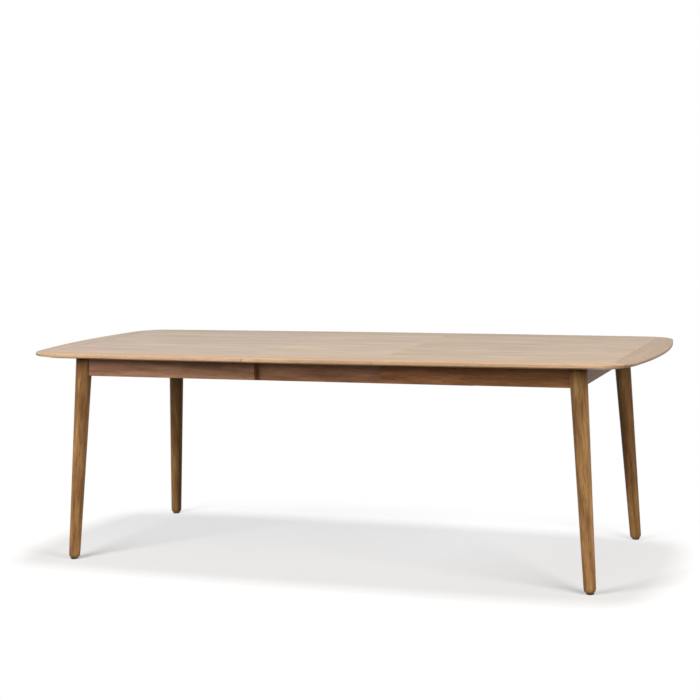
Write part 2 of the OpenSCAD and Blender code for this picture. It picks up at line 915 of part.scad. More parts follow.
// Shouldered axle with its head, thrust washer and nut
module pinion_axle() {
    shoulder_top = pinion_z + pinion_t + 2 * hub_h + axial_play;
    color(steel) {
        axle_bolt();
        translate([0, 0, board_top])
            cylinder(h = shoulder_top - board_top, d = axle_d);
        translate([0, 0, shoulder_top])
            cylinder(h = head_t, d = hub_d);
        translate([0, 0, board_top])
            difference() {
                cylinder(h = thrust_t, d = hub_d);
                translate([0, 0, -through])
                    cylinder(h = thrust_t + 2 * through, d = axle_d + 2 * fit);
            }
        translate([0, 0, cross_z + axle_recess - nut_h])
            difference() {
                cylinder(h = nut_h, d = nut_af / cos(30), $fn = 6);
                translate([0, 0, -through])
                    cylinder(h = nut_h + 2 * through, d = bolt_d + 2 * fit);
            }
    }
}

// Involute of an angle, in degrees
function involute(angle) = tan(angle) * 180 / PI - angle;

// Half the angle that a tooth of the pinion fills at a radius
function tooth_half_angle(r) =
    let (base_r = pitch_r * cos(pressure_angle), slope = acos(base_r / max(r, base_r)))
    90 / pinion_teeth - tooth_play / 4 / pitch_r * 180 / PI + involute(pressure_angle) - involute(slope);

// Radii of the points up the flank of a tooth
flank_steps = 4;
flank_r = concat([pitch_r - root_depth],
    [for (i = [0 : flank_steps]) let (base_r = pitch_r * cos(pressure_angle))
        base_r + (pitch_r + gear_module - base_r) * i / flank_steps]);

module pinion() {
    color(nylon)
        difference() {
            union() {
                translate([0, 0, rim_z])
                    linear_extrude(pinion_t)
                        polygon([for (k = [0 : pinion_teeth - 1], side = [-1, 1], i = [0 : flank_steps + 1])
                            let (r = flank_r[side < 0 ? i : flank_steps + 1 - i],
                                 a = 360 * k / pinion_teeth + side * tooth_half_angle(r))
                            r * [cos(a), sin(a)]]);
                translate([0, 0, pinion_z])
                    cylinder(h = pinion_t + 2 * hub_h, d = hub_d);
            }
            translate([0, 0, pinion_z - through])
                cylinder(h = pinion_t + 2 * hub_h + 2 * through, d = axle_d + 2 * fit);
        }
}

// Discs on the rails that carry the leaf
module leaf_pads() {
    color(dark_nylon)
        for (x = [-pad_x, pad_x], y = [-pad_y, pad_y])
            translate([x, y, rail_top])
                cylinder(h = rail_top_gap, d = pad_d);
}

// ---- Leaf ----

module leaf_field() {
    color(pale_oak)
        difference() {
            translate([-leaf_half, -field_y, under_z])
                cube([2 * leaf_half, 2 * field_y, top_t]);
            seam_chamfers();
            leaf_pins(fit);
            leaf_studs(fit);
            right_latch_pivots(fit);
            leaf_screws(fit);
        }
}

module leaf_front_border() {
    color(edge_oak)
        board_over([[-leaf_half, -field_y], [-leaf_half, -beyond], [leaf_half, -beyond],
            [leaf_half, -field_y]])
            whole_top();
}

module leaf_back_border() {
    color(edge_oak)
        board_over([[-leaf_half, field_y], [leaf_half, field_y], [leaf_half, beyond], [-leaf_half, beyond]])
            whole_top();
}

// Battens that keep the leaf flat, with their lower corners cut away at the ends
module leaf_battens() {
    end_cut = batten_h - batten_tip_h;
    color(beech)
        difference() {
            for (x = [-batten_x, batten_x])
                translate([x - batten_w / 2, 0, 0])
                    rotate([90, 0, 90])
                        linear_extrude(batten_w)
                            polygon([[-batten_l / 2, under_z], [-batten_l / 2, under_z - batten_h + end_cut],
                                [-batten_l / 2 + 2 * end_cut, under_z - batten_h],
                                [batten_l / 2 - 2 * end_cut, under_z - batten_h],
                                [batten_l / 2, under_z - batten_h + end_cut], [batten_l / 2, under_z]]);
            leaf_screws(fit);
        }
}

module leaf_screws(play = 0) {
    color(steel)
        for (x = [-batten_x, batten_x], y = [-batten_screw_y, 0, batten_screw_y])
            translate([x, y, under_z - batten_h])
                screw(batten_screw_l, play);
}

// Pins that drop into the rails and place the leaf
module leaf_pins(play = 0) {
    color(beech)
        for (x = [-pin_x, pin_x], y = [-pin_y, pin_y])
            translate([x, y, under_z - pin_drop])
                rotate_extrude()
                    polygon([[0, 0], [pin_d / 2 - pin_tip, 0], [pin_d / 2 + play, pin_tip],
                        [pin_d / 2 + play, pin_drop + pin_hold + play], [0, pin_drop + pin_hold + play]]);
}

// Headed studs that the latches hook, on the leaf for the left-hand latches
module leaf_studs(play = 0) {
    bottom = latch_z - head_gap - head_t;
    color(steel)
        for (y = [-latch_y, latch_y])
            translate([-stud_x, y, 0])
                rotate_extrude()
                    polygon([[0, bottom], [head_d / 2, bottom], [head_d / 2, bottom + head_t],
                        [stud_d / 2, bottom + head_t], [stud_d / 2, under_z], [screw_d / 2 + play, under_z],
                        [screw_d / 2 + play, under_z + screw_bite + play],
                        [0, under_z + screw_bite + play]]);
}

// ---- Pieces of the two halves ----

module on_left() {
    mirror([1, 0, 0])
        children();
}

module on_back() {
    mirror([0, 1, 0])
        children();
}

// The left half and the leaf carry the latches, the leaf and the right half their studs,
// all at the same distances from a seam, so the closed halves hook each other
module right_studs(play = 0) { translate([leaf_w, 0, 0]) leaf_studs(play); }
module right_latch_pivots(play = 0) { translate([leaf_w, 0, 0]) latch_pivots(play); }
module right_front_latch() { translate([leaf_w, 0, 0]) front_latch(); }
module right_back_latch() { on_back() right_front_latch(); }
module left_latch_pivots(play = 0) { latch_pivots(play); }
module left_front_latch() { front_latch(); }
module left_back_latch() { on_back() front_latch(); }

module right_field() {
    color(pale_oak)
        difference() {
            half_field();
            right_studs(fit);
        }
}

module right_front_border() { half_front_border(); }
module right_back_border() { on_back() half_front_border(); }
module right_end_border() { half_end_border(); }
module right_front_apron() { half_front_apron(); }
module right_back_apron() { on_back() half_front_apron(); }
module right_end_apron() { half_end_apron(); }
module right_front_leg() { half_front_leg(); }
module right_back_leg() { on_back() half_front_leg(); }
module right_glides() { half_glides(); }
module right_corner_blocks() { half_corner_blocks(); }
module right_leg_bolts() { half_leg_bolts(); }
module right_leg_nuts() { half_leg_nuts(); }
module right_runners() { half_runners(); }
module right_clips() { half_clips(); }
module right_screws() { half_screws(); }
module right_rack_block() { half_rack_block(); }
module right_rack() { half_rack(); }

// The rack of the left half lies on the other side of the pinion, so what it is
// screwed to is turned half round instead of mirrored
module left_field() {
    color(pale_oak)
        difference() {
            rotate(180)
                half_field();
            left_latch_pivots(fit);
        }
}

module left_front_border() { on_left() half_front_border(); }
module left_back_border() { on_left() on_back() half_front_border(); }
module left_end_border() { on_left() half_end_border(); }
module left_front_apron() { on_left() half_front_apron(); }
module left_back_apron() { on_left() on_back() half_front_apron(); }
module left_end_apron() { on_left() half_end_apron(); }
module left_front_leg() { on_left() half_front_leg(); }
module left_back_leg() { on_left() on_back() half_front_leg(); }
module left_glides() { on_left() half_glides(); }
module left_corner_blocks() { on_left() half_corner_blocks(); }
module left_leg_bolts() { on_left() half_leg_bolts(); }
module left_leg_nuts() { on_left() half_leg_nuts(); }
module left_runners() { rotate(180) half_runners(); }
module left_clips() { rotate(180) half_clips(); }
module left_screws() { rotate(180) half_screws(); }
module left_rack_block() { rotate(180) half_rack_block(); }
module left_rack() { rotate(180) half_rack(); }

left_field();
left_front_border();
left_back_border();
left_end_border();
left_front_apron();
left_back_apron();
left_end_apron();
left_front_leg();
left_back_leg();
left_glides();
left_corner_blocks();
left_leg_bolts();
left_leg_nuts();
left_runners();
left_clips();
left_screws();
left_rack_block();
left_rack();
left_latch_pivots();
left_front_latch();
left_back_latch();
right_field();
right_front_border();
right_back_border();
right_end_border();
right_front_apron();
right_back_apron();
right_end_apron();
right_front_leg();
right_back_leg();
right_glides();
right_corner_blocks();
right_leg_bolts();
right_leg_nuts();
right_runners();
right_clips();
right_screws();
right_rack_block();
right_rack();
right_studs();
right_latch_pivots();
right_front_latch();
right_back_latch();
front_rail();
back_rail();
left_cross_rail();
right_cross_rail();
gear_board();
rack_guides();
frame_screws();
leaf_pads();
pinion_axle();
pinion();
leaf_field();
leaf_front_border();
leaf_back_border();
leaf_battens();
leaf_pins();
leaf_studs();
leaf_screws();
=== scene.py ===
import math

import bmesh
import bpy
from mathutils import Matrix, Vector


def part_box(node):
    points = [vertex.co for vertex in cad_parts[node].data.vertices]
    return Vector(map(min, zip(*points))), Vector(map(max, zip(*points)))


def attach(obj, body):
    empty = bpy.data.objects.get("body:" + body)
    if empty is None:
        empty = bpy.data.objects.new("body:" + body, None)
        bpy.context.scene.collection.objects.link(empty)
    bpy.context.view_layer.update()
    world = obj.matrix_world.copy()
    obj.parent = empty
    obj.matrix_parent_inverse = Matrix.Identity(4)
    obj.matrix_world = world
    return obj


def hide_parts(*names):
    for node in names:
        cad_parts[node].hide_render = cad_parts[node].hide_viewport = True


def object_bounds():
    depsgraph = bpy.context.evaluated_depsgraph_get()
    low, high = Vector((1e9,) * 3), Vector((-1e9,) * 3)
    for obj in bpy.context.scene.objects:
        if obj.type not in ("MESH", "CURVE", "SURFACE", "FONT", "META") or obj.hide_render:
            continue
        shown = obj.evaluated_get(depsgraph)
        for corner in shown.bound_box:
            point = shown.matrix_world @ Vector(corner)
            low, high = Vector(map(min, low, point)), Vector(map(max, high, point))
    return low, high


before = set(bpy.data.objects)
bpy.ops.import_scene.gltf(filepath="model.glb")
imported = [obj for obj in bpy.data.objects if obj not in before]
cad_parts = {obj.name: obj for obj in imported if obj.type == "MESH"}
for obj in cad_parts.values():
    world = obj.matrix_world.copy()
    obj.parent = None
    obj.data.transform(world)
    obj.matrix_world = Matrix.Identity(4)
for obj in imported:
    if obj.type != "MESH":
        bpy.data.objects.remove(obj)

cad_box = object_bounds()

# ---- Camera ----
# A long lens a little under standing eye height, in front of the table and to its right. It
# looks slightly down, and is turned and rolled by the angles below.

camera_place = Vector((1.979, -5.530, 1.336))
camera_turn = math.radians(20.29)
camera_dip = math.radians(5.90)
camera_roll = math.radians(-1.11)

ahead = Vector((-math.sin(camera_turn) * math.cos(camera_dip),
                math.cos(camera_turn) * math.cos(camera_dip), -math.sin(camera_dip)))
level = Vector((math.cos(camera_turn), math.sin(camera_turn), 0))
upright = level.cross(ahead)
right = level * math.cos(camera_roll) + upright * math.sin(camera_roll)
up = upright * math.cos(camera_roll) - level * math.sin(camera_roll)


def set_out(name, data):
    """Puts an object for a mesh, a lamp or a camera into the scene."""
    made = bpy.data.objects.new(name, data)
    bpy.context.scene.collection.objects.link(made)
    return made


camera = set_out("camera", bpy.data.cameras.new("camera"))
camera.data.lens = 83.92
camera.data.sensor_width = 36
camera.data.shift_x = 0.0174
camera.data.shift_y = 0.0017
camera.data.clip_end = 200
camera.matrix_world = Matrix.Translation(camera_place) @ Matrix((right, up, -ahead)).transposed().to_4x4()
bpy.context.scene.camera = camera
bpy.context.scene.view_settings.view_transform = "Standard"

# ---- Paper floor ----
# A sheet of white background paper, large enough to run out of sight. Seen directly it is
# white, with the table's shadow near the middle; as a source of bounced light it is grey.


def add(tree, kind, inputs=None, **settings):
    """Adds a node with its settings, and sets or links its inputs."""
    node = tree.nodes.new(kind)
    for name, value in settings.items():
        setattr(node, name, value)
    for name, value in (inputs or {}).items():
        if isinstance(value, bpy.types.NodeSocket):
            tree.links.new(value, node.inputs[name])
        else:
            node.inputs[name].default_value = value
    return node


def linear(hex_colour):
    """Turns an sRGB hex colour into a linear colour."""
    values = [int(hex_colour[i:i + 2], 16) / 255 for i in (1, 3, 5)]
    return [v / 12.92 if v <= 0.04045 else ((v + 0.055) / 1.055) ** 2.4 for v in values] + [1]


def new_finish(name):
    """A material with no nodes yet."""
    material = bpy.data.materials.new(name)
    material.use_nodes = True
    material.node_tree.nodes.clear()
    return material


def seen_directly(tree):
    """A node that is 1 where the camera sees a surface, straight, mirrored or through glass, and else 0."""
    rays = add(tree, "ShaderNodeLightPath")
    seen = add(tree, "ShaderNodeMath", {0: rays.outputs["Is Camera Ray"], 1: rays.outputs["Is Glossy Ray"]},
               operation="MAXIMUM")
    return add(tree, "ShaderNodeMath", {0: seen.outputs[0], 1: rays.outputs["Is Transmission Ray"]},
               operation="MAXIMUM")


floor_reach = 30
# The shadow fades into white between two distances from a point before the table, in an oval
shadow_from, shadow_to, shadow_squeeze, shadow_forward = 1.38, 2.0, 1.7, 0.5
# Near the table the paper glows less at the front and at the right, so its shadow is even
front_end, back_end, front_glow, back_glow = -0.6, 0.5, 0.32, 0.52
right_start, right_end, right_glow_share = 0.3, 0.9, 0.85
glow_tint, paper_shade = (0.935, 0.96, 1.0), 0.73

floor_mesh = bpy.data.meshes.new("paper_floor")
floor_mesh.from_pydata([(x * floor_reach, y * floor_reach, 0)
                        for x, y in ((-1, -1), (1, -1), (1, 1), (-1, 1))],
                       [], [(0, 1, 2, 3)])
floor = set_out("paper_floor", floor_mesh)

white_paper = new_finish("white_background_paper")
tree = white_paper.node_tree
place = add(tree, "ShaderNodeTexCoord")
squeezed = add(tree, "ShaderNodeVectorMath", {0: place.outputs["Object"], 1: (1, shadow_squeeze, 1),
                                              2: (0, shadow_forward, 0)}, operation="MULTIPLY_ADD")
distance = add(tree, "ShaderNodeVectorMath", {0: squeezed.outputs[0]}, operation="LENGTH")
far = add(tree, "ShaderNodeMapRange", {"Value": distance.outputs["Value"], "From Min": shadow_from,
                                       "From Max": shadow_to}, interpolation_type="SMOOTHSTEP")
shade = add(tree, "ShaderNodeMapRange", {"Value": far.outputs[0], "To Min": paper_shade, "To Max": 0.0})
shade_colour = add(tree, "ShaderNodeCombineColor",
                   {0: shade.outputs[0], 1: shade.outputs[0], 2: shade.outputs[0]})
across = add(tree, "ShaderNodeSeparateXYZ", {0: place.outputs["Object"]})
near_glow = add(tree, "ShaderNodeMapRange", {"Value": across.outputs["Y"], "From Min": front_end,
                                             "From Max": back_end, "To Min": front_glow, "To Max": back_glow})
right_glow = add(tree, "ShaderNodeMapRange", {"Value": across.outputs["X"], "From Min": right_start,
                                              "From Max": right_end, "To Min": 1.0,
                                              "To Max": right_glow_share})
near_glow = add(tree, "ShaderNodeMath", {0: near_glow.outputs[0], 1: right_glow.outputs[0]},
                operation="MULTIPLY")
near_glow = add(tree, "ShaderNodeVectorMath", {0: glow_tint, "Scale": near_glow.outputs[0]},
                operation="SCALE")
glow = add(tree, "ShaderNodeMix", {0: far.outputs[0], 6: near_glow.outputs[0], 7: [1, 1, 1, 1]},
           data_type="RGBA")
shaded_paper = add(tree, "ShaderNodeBsdfDiffuse", {"Color": shade_colour.outputs[0]})
glowing_paper = add(tree, "ShaderNodeEmission", {"Color": glow.outputs[2]})
seen_paper = add(tree, "ShaderNodeAddShader", {0: shaded_paper.outputs[0], 1: glowing_paper.outputs[0]})
bounce = add(tree, "ShaderNodeBsdfDiffuse", {"Color": linear("#575655")})
paper = add(tree, "ShaderNodeMixShader", {0: seen_directly(tree).outputs[0], 1: bounce.outputs[0],
                                          2: seen_paper.outputs[0]})
add(tree, "ShaderNodeOutputMaterial", {"Surface": paper.outputs[0]})
floor_mesh.materials.append(white_paper)

# ---- Studio light ----
# White walls all round, a softbox high over the table, and two low ones in front of it, one
# towards each end.

sky_fill = 0.10
world = bpy.data.worlds.new("white_studio")
bpy.context.scene.world = world
world.use_nodes = True
tree = world.node_tree
tree.nodes.clear()
fill = add(tree, "ShaderNodeBackground", {"Color": linear("#fff6ec"), "Strength": sky_fill})
white_wall = add(tree, "ShaderNodeBackground", {"Color": [1, 1, 1, 1], "Strength": 1.0})
walls = add(tree, "ShaderNodeMixShader", {0: seen_directly(tree).outputs[0], 1: fill.outputs[0],
                                          2: white_wall.outputs[0]})
add(tree, "ShaderNodeOutputWorld", {"Surface": walls.outputs[0]})

# Name, place, aim, size across and up, power in watts, colour
for name, spot, aim, size, power, tint in (
        ("overhead_softbox", (0.2, 1.2, 16.0), (0, 0, 0), (2.6, 3.4), 822, "#fffdfa"),
        ("left_softbox", (-1.7, -3.1, 2.05), (-0.5, 0, 0.5), (1.7, 1.5), 102, "#fffcf8"),
        ("right_softbox", (3.0, -1.8, 1.8), (0.7, 0, 0.4), (1.6, 1.4), 72, "#fffcf8")):
    lamp = bpy.data.lights.new(name, "AREA")
    lamp.shape = "RECTANGLE"
    lamp.size, lamp.size_y = size
    lamp.energy = power
    lamp.color = linear(tint)[:3]
    stand = set_out(name, lamp)
    stand.location = spot
    stand.rotation_euler = (Vector(aim) - Vector(spot)).to_track_quat("-Z", "Y").to_euler()
    # The low boxes aren't mirrored in the lacquer, which would glare when seen from behind
    stand.visible_glossy = name == "overhead_softbox"

# ---- Legs ----
# Four legs turned from solid oak to a straight taper with a rounded foot, stained brown and
# lacquered. Each leans out two ways, so its head is sawn level to sit under the board.


def grained_wood(name, tones, turn=(0, 0, 0), start=(0, 0, 0), stave=(0.4, 3.0), stave_tint=0.04, ring=0.013,
                 pore=0.3, roughness=0.46, lustre=0.5, place=None):
    """Oak or beech with its grain along X before the turn. Tones run from dark to light, stave is the
    width and length of one board, ring the distance between growth rings, and pore how dark the
    pores are. It reads Object coordinates, unless place names an attribute."""
    # Waves per metre along the grain and across it
    waver_rate, streak_rate, ring_rate, pore_rate = (1.6, 5, 5), (3.2, 32, 32), (0.35, 1, 1), (22, 620, 620)
    waver_reach, hue_drift, gloss_drift = 0.035, 0.14, 0.06
    # Where the three tones sit in the streaks' noise
    dark_end, middle, light_end = 0.37, 0.50, 0.65
    # Metres in the tree between one stave and the next, at most
    stave_jump = (7, 5, 3)
    # Metres between the bands of a wave texture whose scale is 1
    wave_at_scale_one = 0.3
    ring_relief = 0.15
    material = new_finish(name)
    tree = material.node_tree
    if place:
        spot = add(tree, "ShaderNodeAttribute", attribute_name=place).outputs["Vector"]
    else:
        spot = add(tree, "ShaderNodeTexCoord").outputs["Object"]
    grain = add(tree, "ShaderNodeMapping", {"Vector": spot, "Rotation": turn, "Location": start})

    # Each stave is cut from another place in the tree
    parts = add(tree, "ShaderNodeSeparateXYZ", {0: grain.outputs[0]})
    row = add(tree, "ShaderNodeMath", {0: parts.outputs["Y"], 1: stave[0]}, operation="DIVIDE")
    row = add(tree, "ShaderNodeMath", {0: row.outputs[0]}, operation="FLOOR")
    stagger = add(tree, "ShaderNodeTexWhiteNoise", {"W": row.outputs[0]}, noise_dimensions="1D")
    column = add(tree, "ShaderNodeMath",
                 {0: parts.outputs["X"], 1: 1 / stave[1], 2: stagger.outputs["Value"]},
                 operation="MULTIPLY_ADD")
    column = add(tree, "ShaderNodeMath", {0: column.outputs[0]}, operation="FLOOR")
    stave_key = add(tree, "ShaderNodeCombineXYZ", {0: row.outputs[0], 1: column.outputs[0]})
    stave_pick = add(tree, "ShaderNodeTexWhiteNoise", {"Vector": stave_key.outputs[0]}, noise_dimensions="3D")
    own = add(tree, "ShaderNodeVectorMath",
              {0: stave_pick.outputs["Color"], 1: stave_jump, 2: grain.outputs[0]},
              operation="MULTIPLY_ADD")

    # The fibres waver slowly along the board
    waver_at = add(tree, "ShaderNodeVectorMath", {0: own.outputs[0], 1: waver_rate}, operation="MULTIPLY")
    waver = add(tree, "ShaderNodeTexNoise", {"Vector": waver_at.outputs[0], "Scale": 1.0, "Detail": 2.0})
    fibre = add(tree, "ShaderNodeVectorMath", {0: waver.outputs["Color"], 1: (0, waver_reach, waver_reach),
                                               2: own.outputs[0]}, operation="MULTIPLY_ADD")

    # Streaks of colour about 30 mm wide, growth rings, and pores. Real pores are 0.2 mm
    # across, which is too fine to show, so they are drawn about 1.5 mm across
    streak_at = add(tree, "ShaderNodeVectorMath", {0: fibre.outputs[0], 1: streak_rate}, operation="MULTIPLY")
    streak = add(tree, "ShaderNodeTexNoise", {"Vector": streak_at.outputs[0], "Scale": 1.0, "Detail": 5.0,
                                              "Roughness": 0.66})
    ring_at = add(tree, "ShaderNodeVectorMath", {0: fibre.outputs[0], 1: ring_rate}, operation="MULTIPLY")
    rings = add(tree, "ShaderNodeTexWave", {"Vector": ring_at.outputs[0], "Scale": wave_at_scale_one / ring,
                                            "Distortion": 3.5, "Detail": 2.0, "Detail Scale": 1.2},
                wave_type="BANDS", bands_direction="Y", wave_profile="SAW")
    pore_at = add(tree, "ShaderNodeVectorMath", {0: fibre.outputs[0], 1: pore_rate}, operation="MULTIPLY")
    pores = add(tree, "ShaderNodeTexNoise", {"Vector": pore_at.outputs[0], "Scale": 1.0, "Detail": 1.0})
    pores = add(tree, "ShaderNodeMapRange", {"Value": pores.outputs[0], "From Min": 0.54, "From Max": 0.70,
                                             "To Min": 1.0, "To Max": 1 - pore})

    tone = add(tree, "ShaderNodeValToRGB", {"Fac": streak.outputs[0]})
    ramp = tone.color_ramp
    ramp.elements[0].position, ramp.elements[1].position = dark_end, light_end
    ramp.elements[0].color, ramp.elements[1].color = linear(tones[0]), linear(tones[2])
    ramp.elements.new(middle).color = linear(tones[1])
    tint = add(tree, "ShaderNodeMapRange", {"Value": stave_pick.outputs["Value"], "To Min": 1 - stave_tint,
                                            "To Max": 1 + stave_tint})
    ring_tint = add(tree, "ShaderNodeMapRange",
                    {"Value": rings.outputs["Fac"], "To Min": 0.94, "To Max": 1.03})
    depth = add(tree, "ShaderNodeMath", {0: tint.outputs[0], 1: ring_tint.outputs[0]}, operation="MULTIPLY")
    depth = add(tree, "ShaderNodeMath", {0: depth.outputs[0], 1: pores.outputs[0]}, operation="MULTIPLY")
    # The hue drifts a little between pink and yellow from place to place
    drift = add(tree, "ShaderNodeVectorMath", {0: waver.outputs["Color"], 1: [hue_drift] * 3,
                                               2: [1 - hue_drift / 2] * 3}, operation="MULTIPLY_ADD")
    colour = add(tree, "ShaderNodeVectorMath", {0: tone.outputs["Color"], 1: drift.outputs[0]},
                 operation="MULTIPLY")
    colour = add(tree, "ShaderNodeVectorMath", {0: colour.outputs[0], "Scale": depth.outputs[0]},
                 operation="SCALE")
    sheen = add(tree, "ShaderNodeMapRange", {"Value": streak.outputs[0], "To Min": roughness - gloss_drift,
                                             "To Max": roughness + gloss_drift})
    relief = add(tree, "ShaderNodeMath", {0: rings.outputs["Fac"], 1: ring_relief, 2: pores.outputs[0]},
                 operation="MULTIPLY_ADD")
    bump = add(tree, "ShaderNodeBump", {"Strength": 0.25, "Distance": 0.0004, "Height": relief.outputs[0]})
    surface = add(tree, "ShaderNodeBsdfPrincipled", {"Base Color": colour.outputs[0], "IOR": 1.5,
                                                     "Specular IOR Level": lustre,
                                                     "Roughness": sheen.outputs[0],
                                                     "Normal": bump.outputs[0]})
    add(tree, "ShaderNodeOutputMaterial", {"Surface": surface.outputs[0]})
    return material


def deepen(material, amount, first, last):
    """Scales a finish's colour from first to last, as amount goes from 0 to 1."""
    tree = material.node_tree
    surface = next(node for node in tree.nodes if node.bl_idname == "ShaderNodeBsdfPrincipled")
    plain = surface.inputs["Base Color"].links[0].from_socket
    tint = add(tree, "ShaderNodeMapRange", {"Value": amount.outputs[0], "To Min": first, "To Max": last})
    deeper = add(tree, "ShaderNodeVectorMath", {0: plain, "Scale": tint.outputs[0]}, operation="SCALE")
    tree.links.new(deeper.outputs[0], surface.inputs["Base Color"])


# Turned oak, stained and lacquered: the stain evens the colour out and the lacquer leaves a soft
# highlight. The back legs' tones are darker, as painted shade. Each leg's colour is also lightened
# at the foot and darkened up to the head's end: painted light low down, painted shade under the board
quarter = math.pi / 2
foot_painted_light, head_painted_shade, head_end = 1.28, 0.72, 0.73
stain_lustre = 0.15
leg_oak = {}
# The back tones are darker than the front ones as painted shade
for end, tones in (("front", ("#825c3a", "#a87d50", "#ca9d69")), ("back", ("#69492d", "#87633d", "#a67f50"))):
    leg_oak[end] = grained_wood(f"stained_lacquered_turned_oak_{end}", tones, turn=(0, quarter, 0),
                                place="grain", pore=0.42, roughness=0.5, lustre=stain_lustre)
    tree = leg_oak[end].node_tree
    height = add(tree, "ShaderNodeTexCoord")
    height = add(tree, "ShaderNodeSeparateXYZ", {0: height.outputs["Object"]})
    height = add(tree, "ShaderNodeMapRange", {"Value": height.outputs["Z"], "From Max": head_end})
    # Painted light at the foot, fading to painted shade at the head
    deepen(leg_oak[end], height, foot_painted_light, head_painted_shade)


def new_maker(name, inputs):
    """A Geometry Nodes tree with named inputs: the tree, its inputs' identifiers, and their sockets."""
    tree = bpy.data.node_groups.new(name, "GeometryNodeTree")
    tree.interface.new_socket("Geometry", in_out="OUTPUT", socket_type="NodeSocketGeometry")
    keys = {}
    for label, kind in inputs:
        keys[label] = tree.interface.new_socket(label, in_out="INPUT",
                                                socket_type="NodeSocket" + kind).identifier
    return tree, keys, add(tree, "NodeGroupInput").outputs


def make(name, start, tree, keys, values):
    """Runs a maker on a mesh, with values for its inputs, and gives what it makes as a plain mesh."""
    blank = set_out(name, start)
    maker = blank.modifiers.new("maker", "NODES")
    maker.node_group = tree
    for label, value in values.items():
        maker[keys[label]] = value
    made = bpy.data.meshes.new_from_object(blank.evaluated_get(bpy.context.evaluated_depsgraph_get()))
    bpy.data.objects.remove(blank)
    # The first material slot is the blank's own, and empty
    made.materials.pop(index=0)
    return made


# One leg, lathed by rule: rings round the axis from the rounded foot up the taper, leaned and
# moved to its foot. The first share of the rings makes the foot's rounding
steps_round, rings_up, foot_share = 72, 33, 0.4
weld_distance = 1e-6
leg_tree, leg_keys, group = new_maker("turned_leg", (
    ("Foot", "Vector"), ("Lean", "Vector"), ("Foot radius", "Float"), ("Head radius", "Float"),
    ("Foot rounding", "Float"), ("Length", "Float"), ("Grain start", "Vector"), ("Material", "Material")))
grid = add(leg_tree, "GeometryNodeMeshGrid", {"Size X": 1.0, "Size Y": 1.0, "Vertices X": steps_round + 1,
                                              "Vertices Y": rings_up})
flat = add(leg_tree, "GeometryNodeInputPosition")
flat = add(leg_tree, "ShaderNodeSeparateXYZ", {0: flat.outputs[0]})
angle = add(leg_tree, "ShaderNodeMath", {0: flat.outputs["X"], 1: 2 * math.pi}, operation="MULTIPLY")
rise = add(leg_tree, "ShaderNodeMath", {0: flat.outputs["Y"], 1: 0.5}, operation="ADD")
foot_turn = add(leg_tree, "ShaderNodeMapRange", {"Value": rise.outputs[0], "From Max": foot_share,
                                                 "To Max": quarter})
taper = add(leg_tree, "ShaderNodeMapRange", {"Value": rise.outputs[0], "From Min": foot_share})
foot_sine = add(leg_tree, "ShaderNodeMath", {0: foot_turn.outputs[0]}, operation="SINE")
foot_cosine = add(leg_tree, "ShaderNodeMath", {0: foot_turn.outputs[0]}, operation="COSINE")
foot_in = add(leg_tree, "ShaderNodeMath", {0: foot_sine.outputs[0], 1: -1.0}, operation="ADD")
foot_in = add(leg_tree, "ShaderNodeMath", {0: foot_in.outputs[0], 1: group["Foot rounding"]},
              operation="MULTIPLY")
foot_up = add(leg_tree, "ShaderNodeMath", {0: 1.0, 1: foot_cosine.outputs[0]}, operation="SUBTRACT")
foot_up = add(leg_tree, "ShaderNodeMath", {0: foot_up.outputs[0], 1: group["Foot rounding"]},
              operation="MULTIPLY")
radius_gain = add(leg_tree, "ShaderNodeMath", {0: group["Head radius"], 1: group["Foot radius"]},
                  operation="SUBTRACT")
radius = add(leg_tree, "ShaderNodeMath", {0: taper.outputs[0], 1: radius_gain.outputs[0],
                                          2: group["Foot radius"]}, operation="MULTIPLY_ADD")
radius = add(leg_tree, "ShaderNodeMath", {0: radius.outputs[0], 1: foot_in.outputs[0]}, operation="ADD")
straight = add(leg_tree, "ShaderNodeMath", {0: group["Length"], 1: group["Foot rounding"]},
               operation="SUBTRACT")
height = add(leg_tree, "ShaderNodeMath", {0: taper.outputs[0], 1: straight.outputs[0], 2: foot_up.outputs[0]},
             operation="MULTIPLY_ADD")
cosine = add(leg_tree, "ShaderNodeMath", {0: angle.outputs[0]}, operation="COSINE")
sine = add(leg_tree, "ShaderNodeMath", {0: angle.outputs[0]}, operation="SINE")
across = add(leg_tree, "ShaderNodeMath", {0: cosine.outputs[0], 1: radius.outputs[0]}, operation="MULTIPLY")
aside = add(leg_tree, "ShaderNodeMath", {0: sine.outputs[0], 1: radius.outputs[0]}, operation="MULTIPLY")
lathed = add(leg_tree, "ShaderNodeCombineXYZ",
             {0: across.outputs[0], 1: aside.outputs[0], 2: height.outputs[0]})
turned = add(leg_tree, "GeometryNodeSetPosition",
             {"Geometry": grid.outputs["Mesh"], "Position": lathed.outputs[0]})
turned = add(leg_tree, "GeometryNodeMergeByDistance",
             {"Geometry": turned.outputs[0], "Distance": weld_distance})
grain_place = add(leg_tree, "GeometryNodeInputPosition")
grain_place = add(leg_tree, "ShaderNodeVectorMath", {0: grain_place.outputs[0], 1: group["Grain start"]},
                  operation="ADD")
marked = add(leg_tree, "GeometryNodeStoreNamedAttribute", {"Geometry": turned.outputs[0], "Name": "grain",
                                                           "Value": grain_place.outputs[0]},
             data_type="FLOAT_VECTOR", domain="POINT")
smooth = add(leg_tree, "GeometryNodeSetShadeSmooth", {"Geometry": marked.outputs[0], "Shade Smooth": True})
lean = add(leg_tree, "FunctionNodeAlignRotationToVector", {"Vector": group["Lean"]}, axis="Z")
leaned = add(leg_tree, "GeometryNodeTransform", {"Geometry": smooth.outputs[0], "Translation": group["Foot"],
                                                 "Rotation": lean.outputs[0]})
realized = add(leg_tree, "GeometryNodeRealizeInstances", {"Geometry": leaned.outputs[0]})
finished = add(leg_tree, "GeometryNodeSetMaterial", {"Geometry": realized.outputs[0],
                                                     "Material": group["Material"]})
add(leg_tree, "NodeGroupOutput", {"Geometry": finished.outputs[0]})

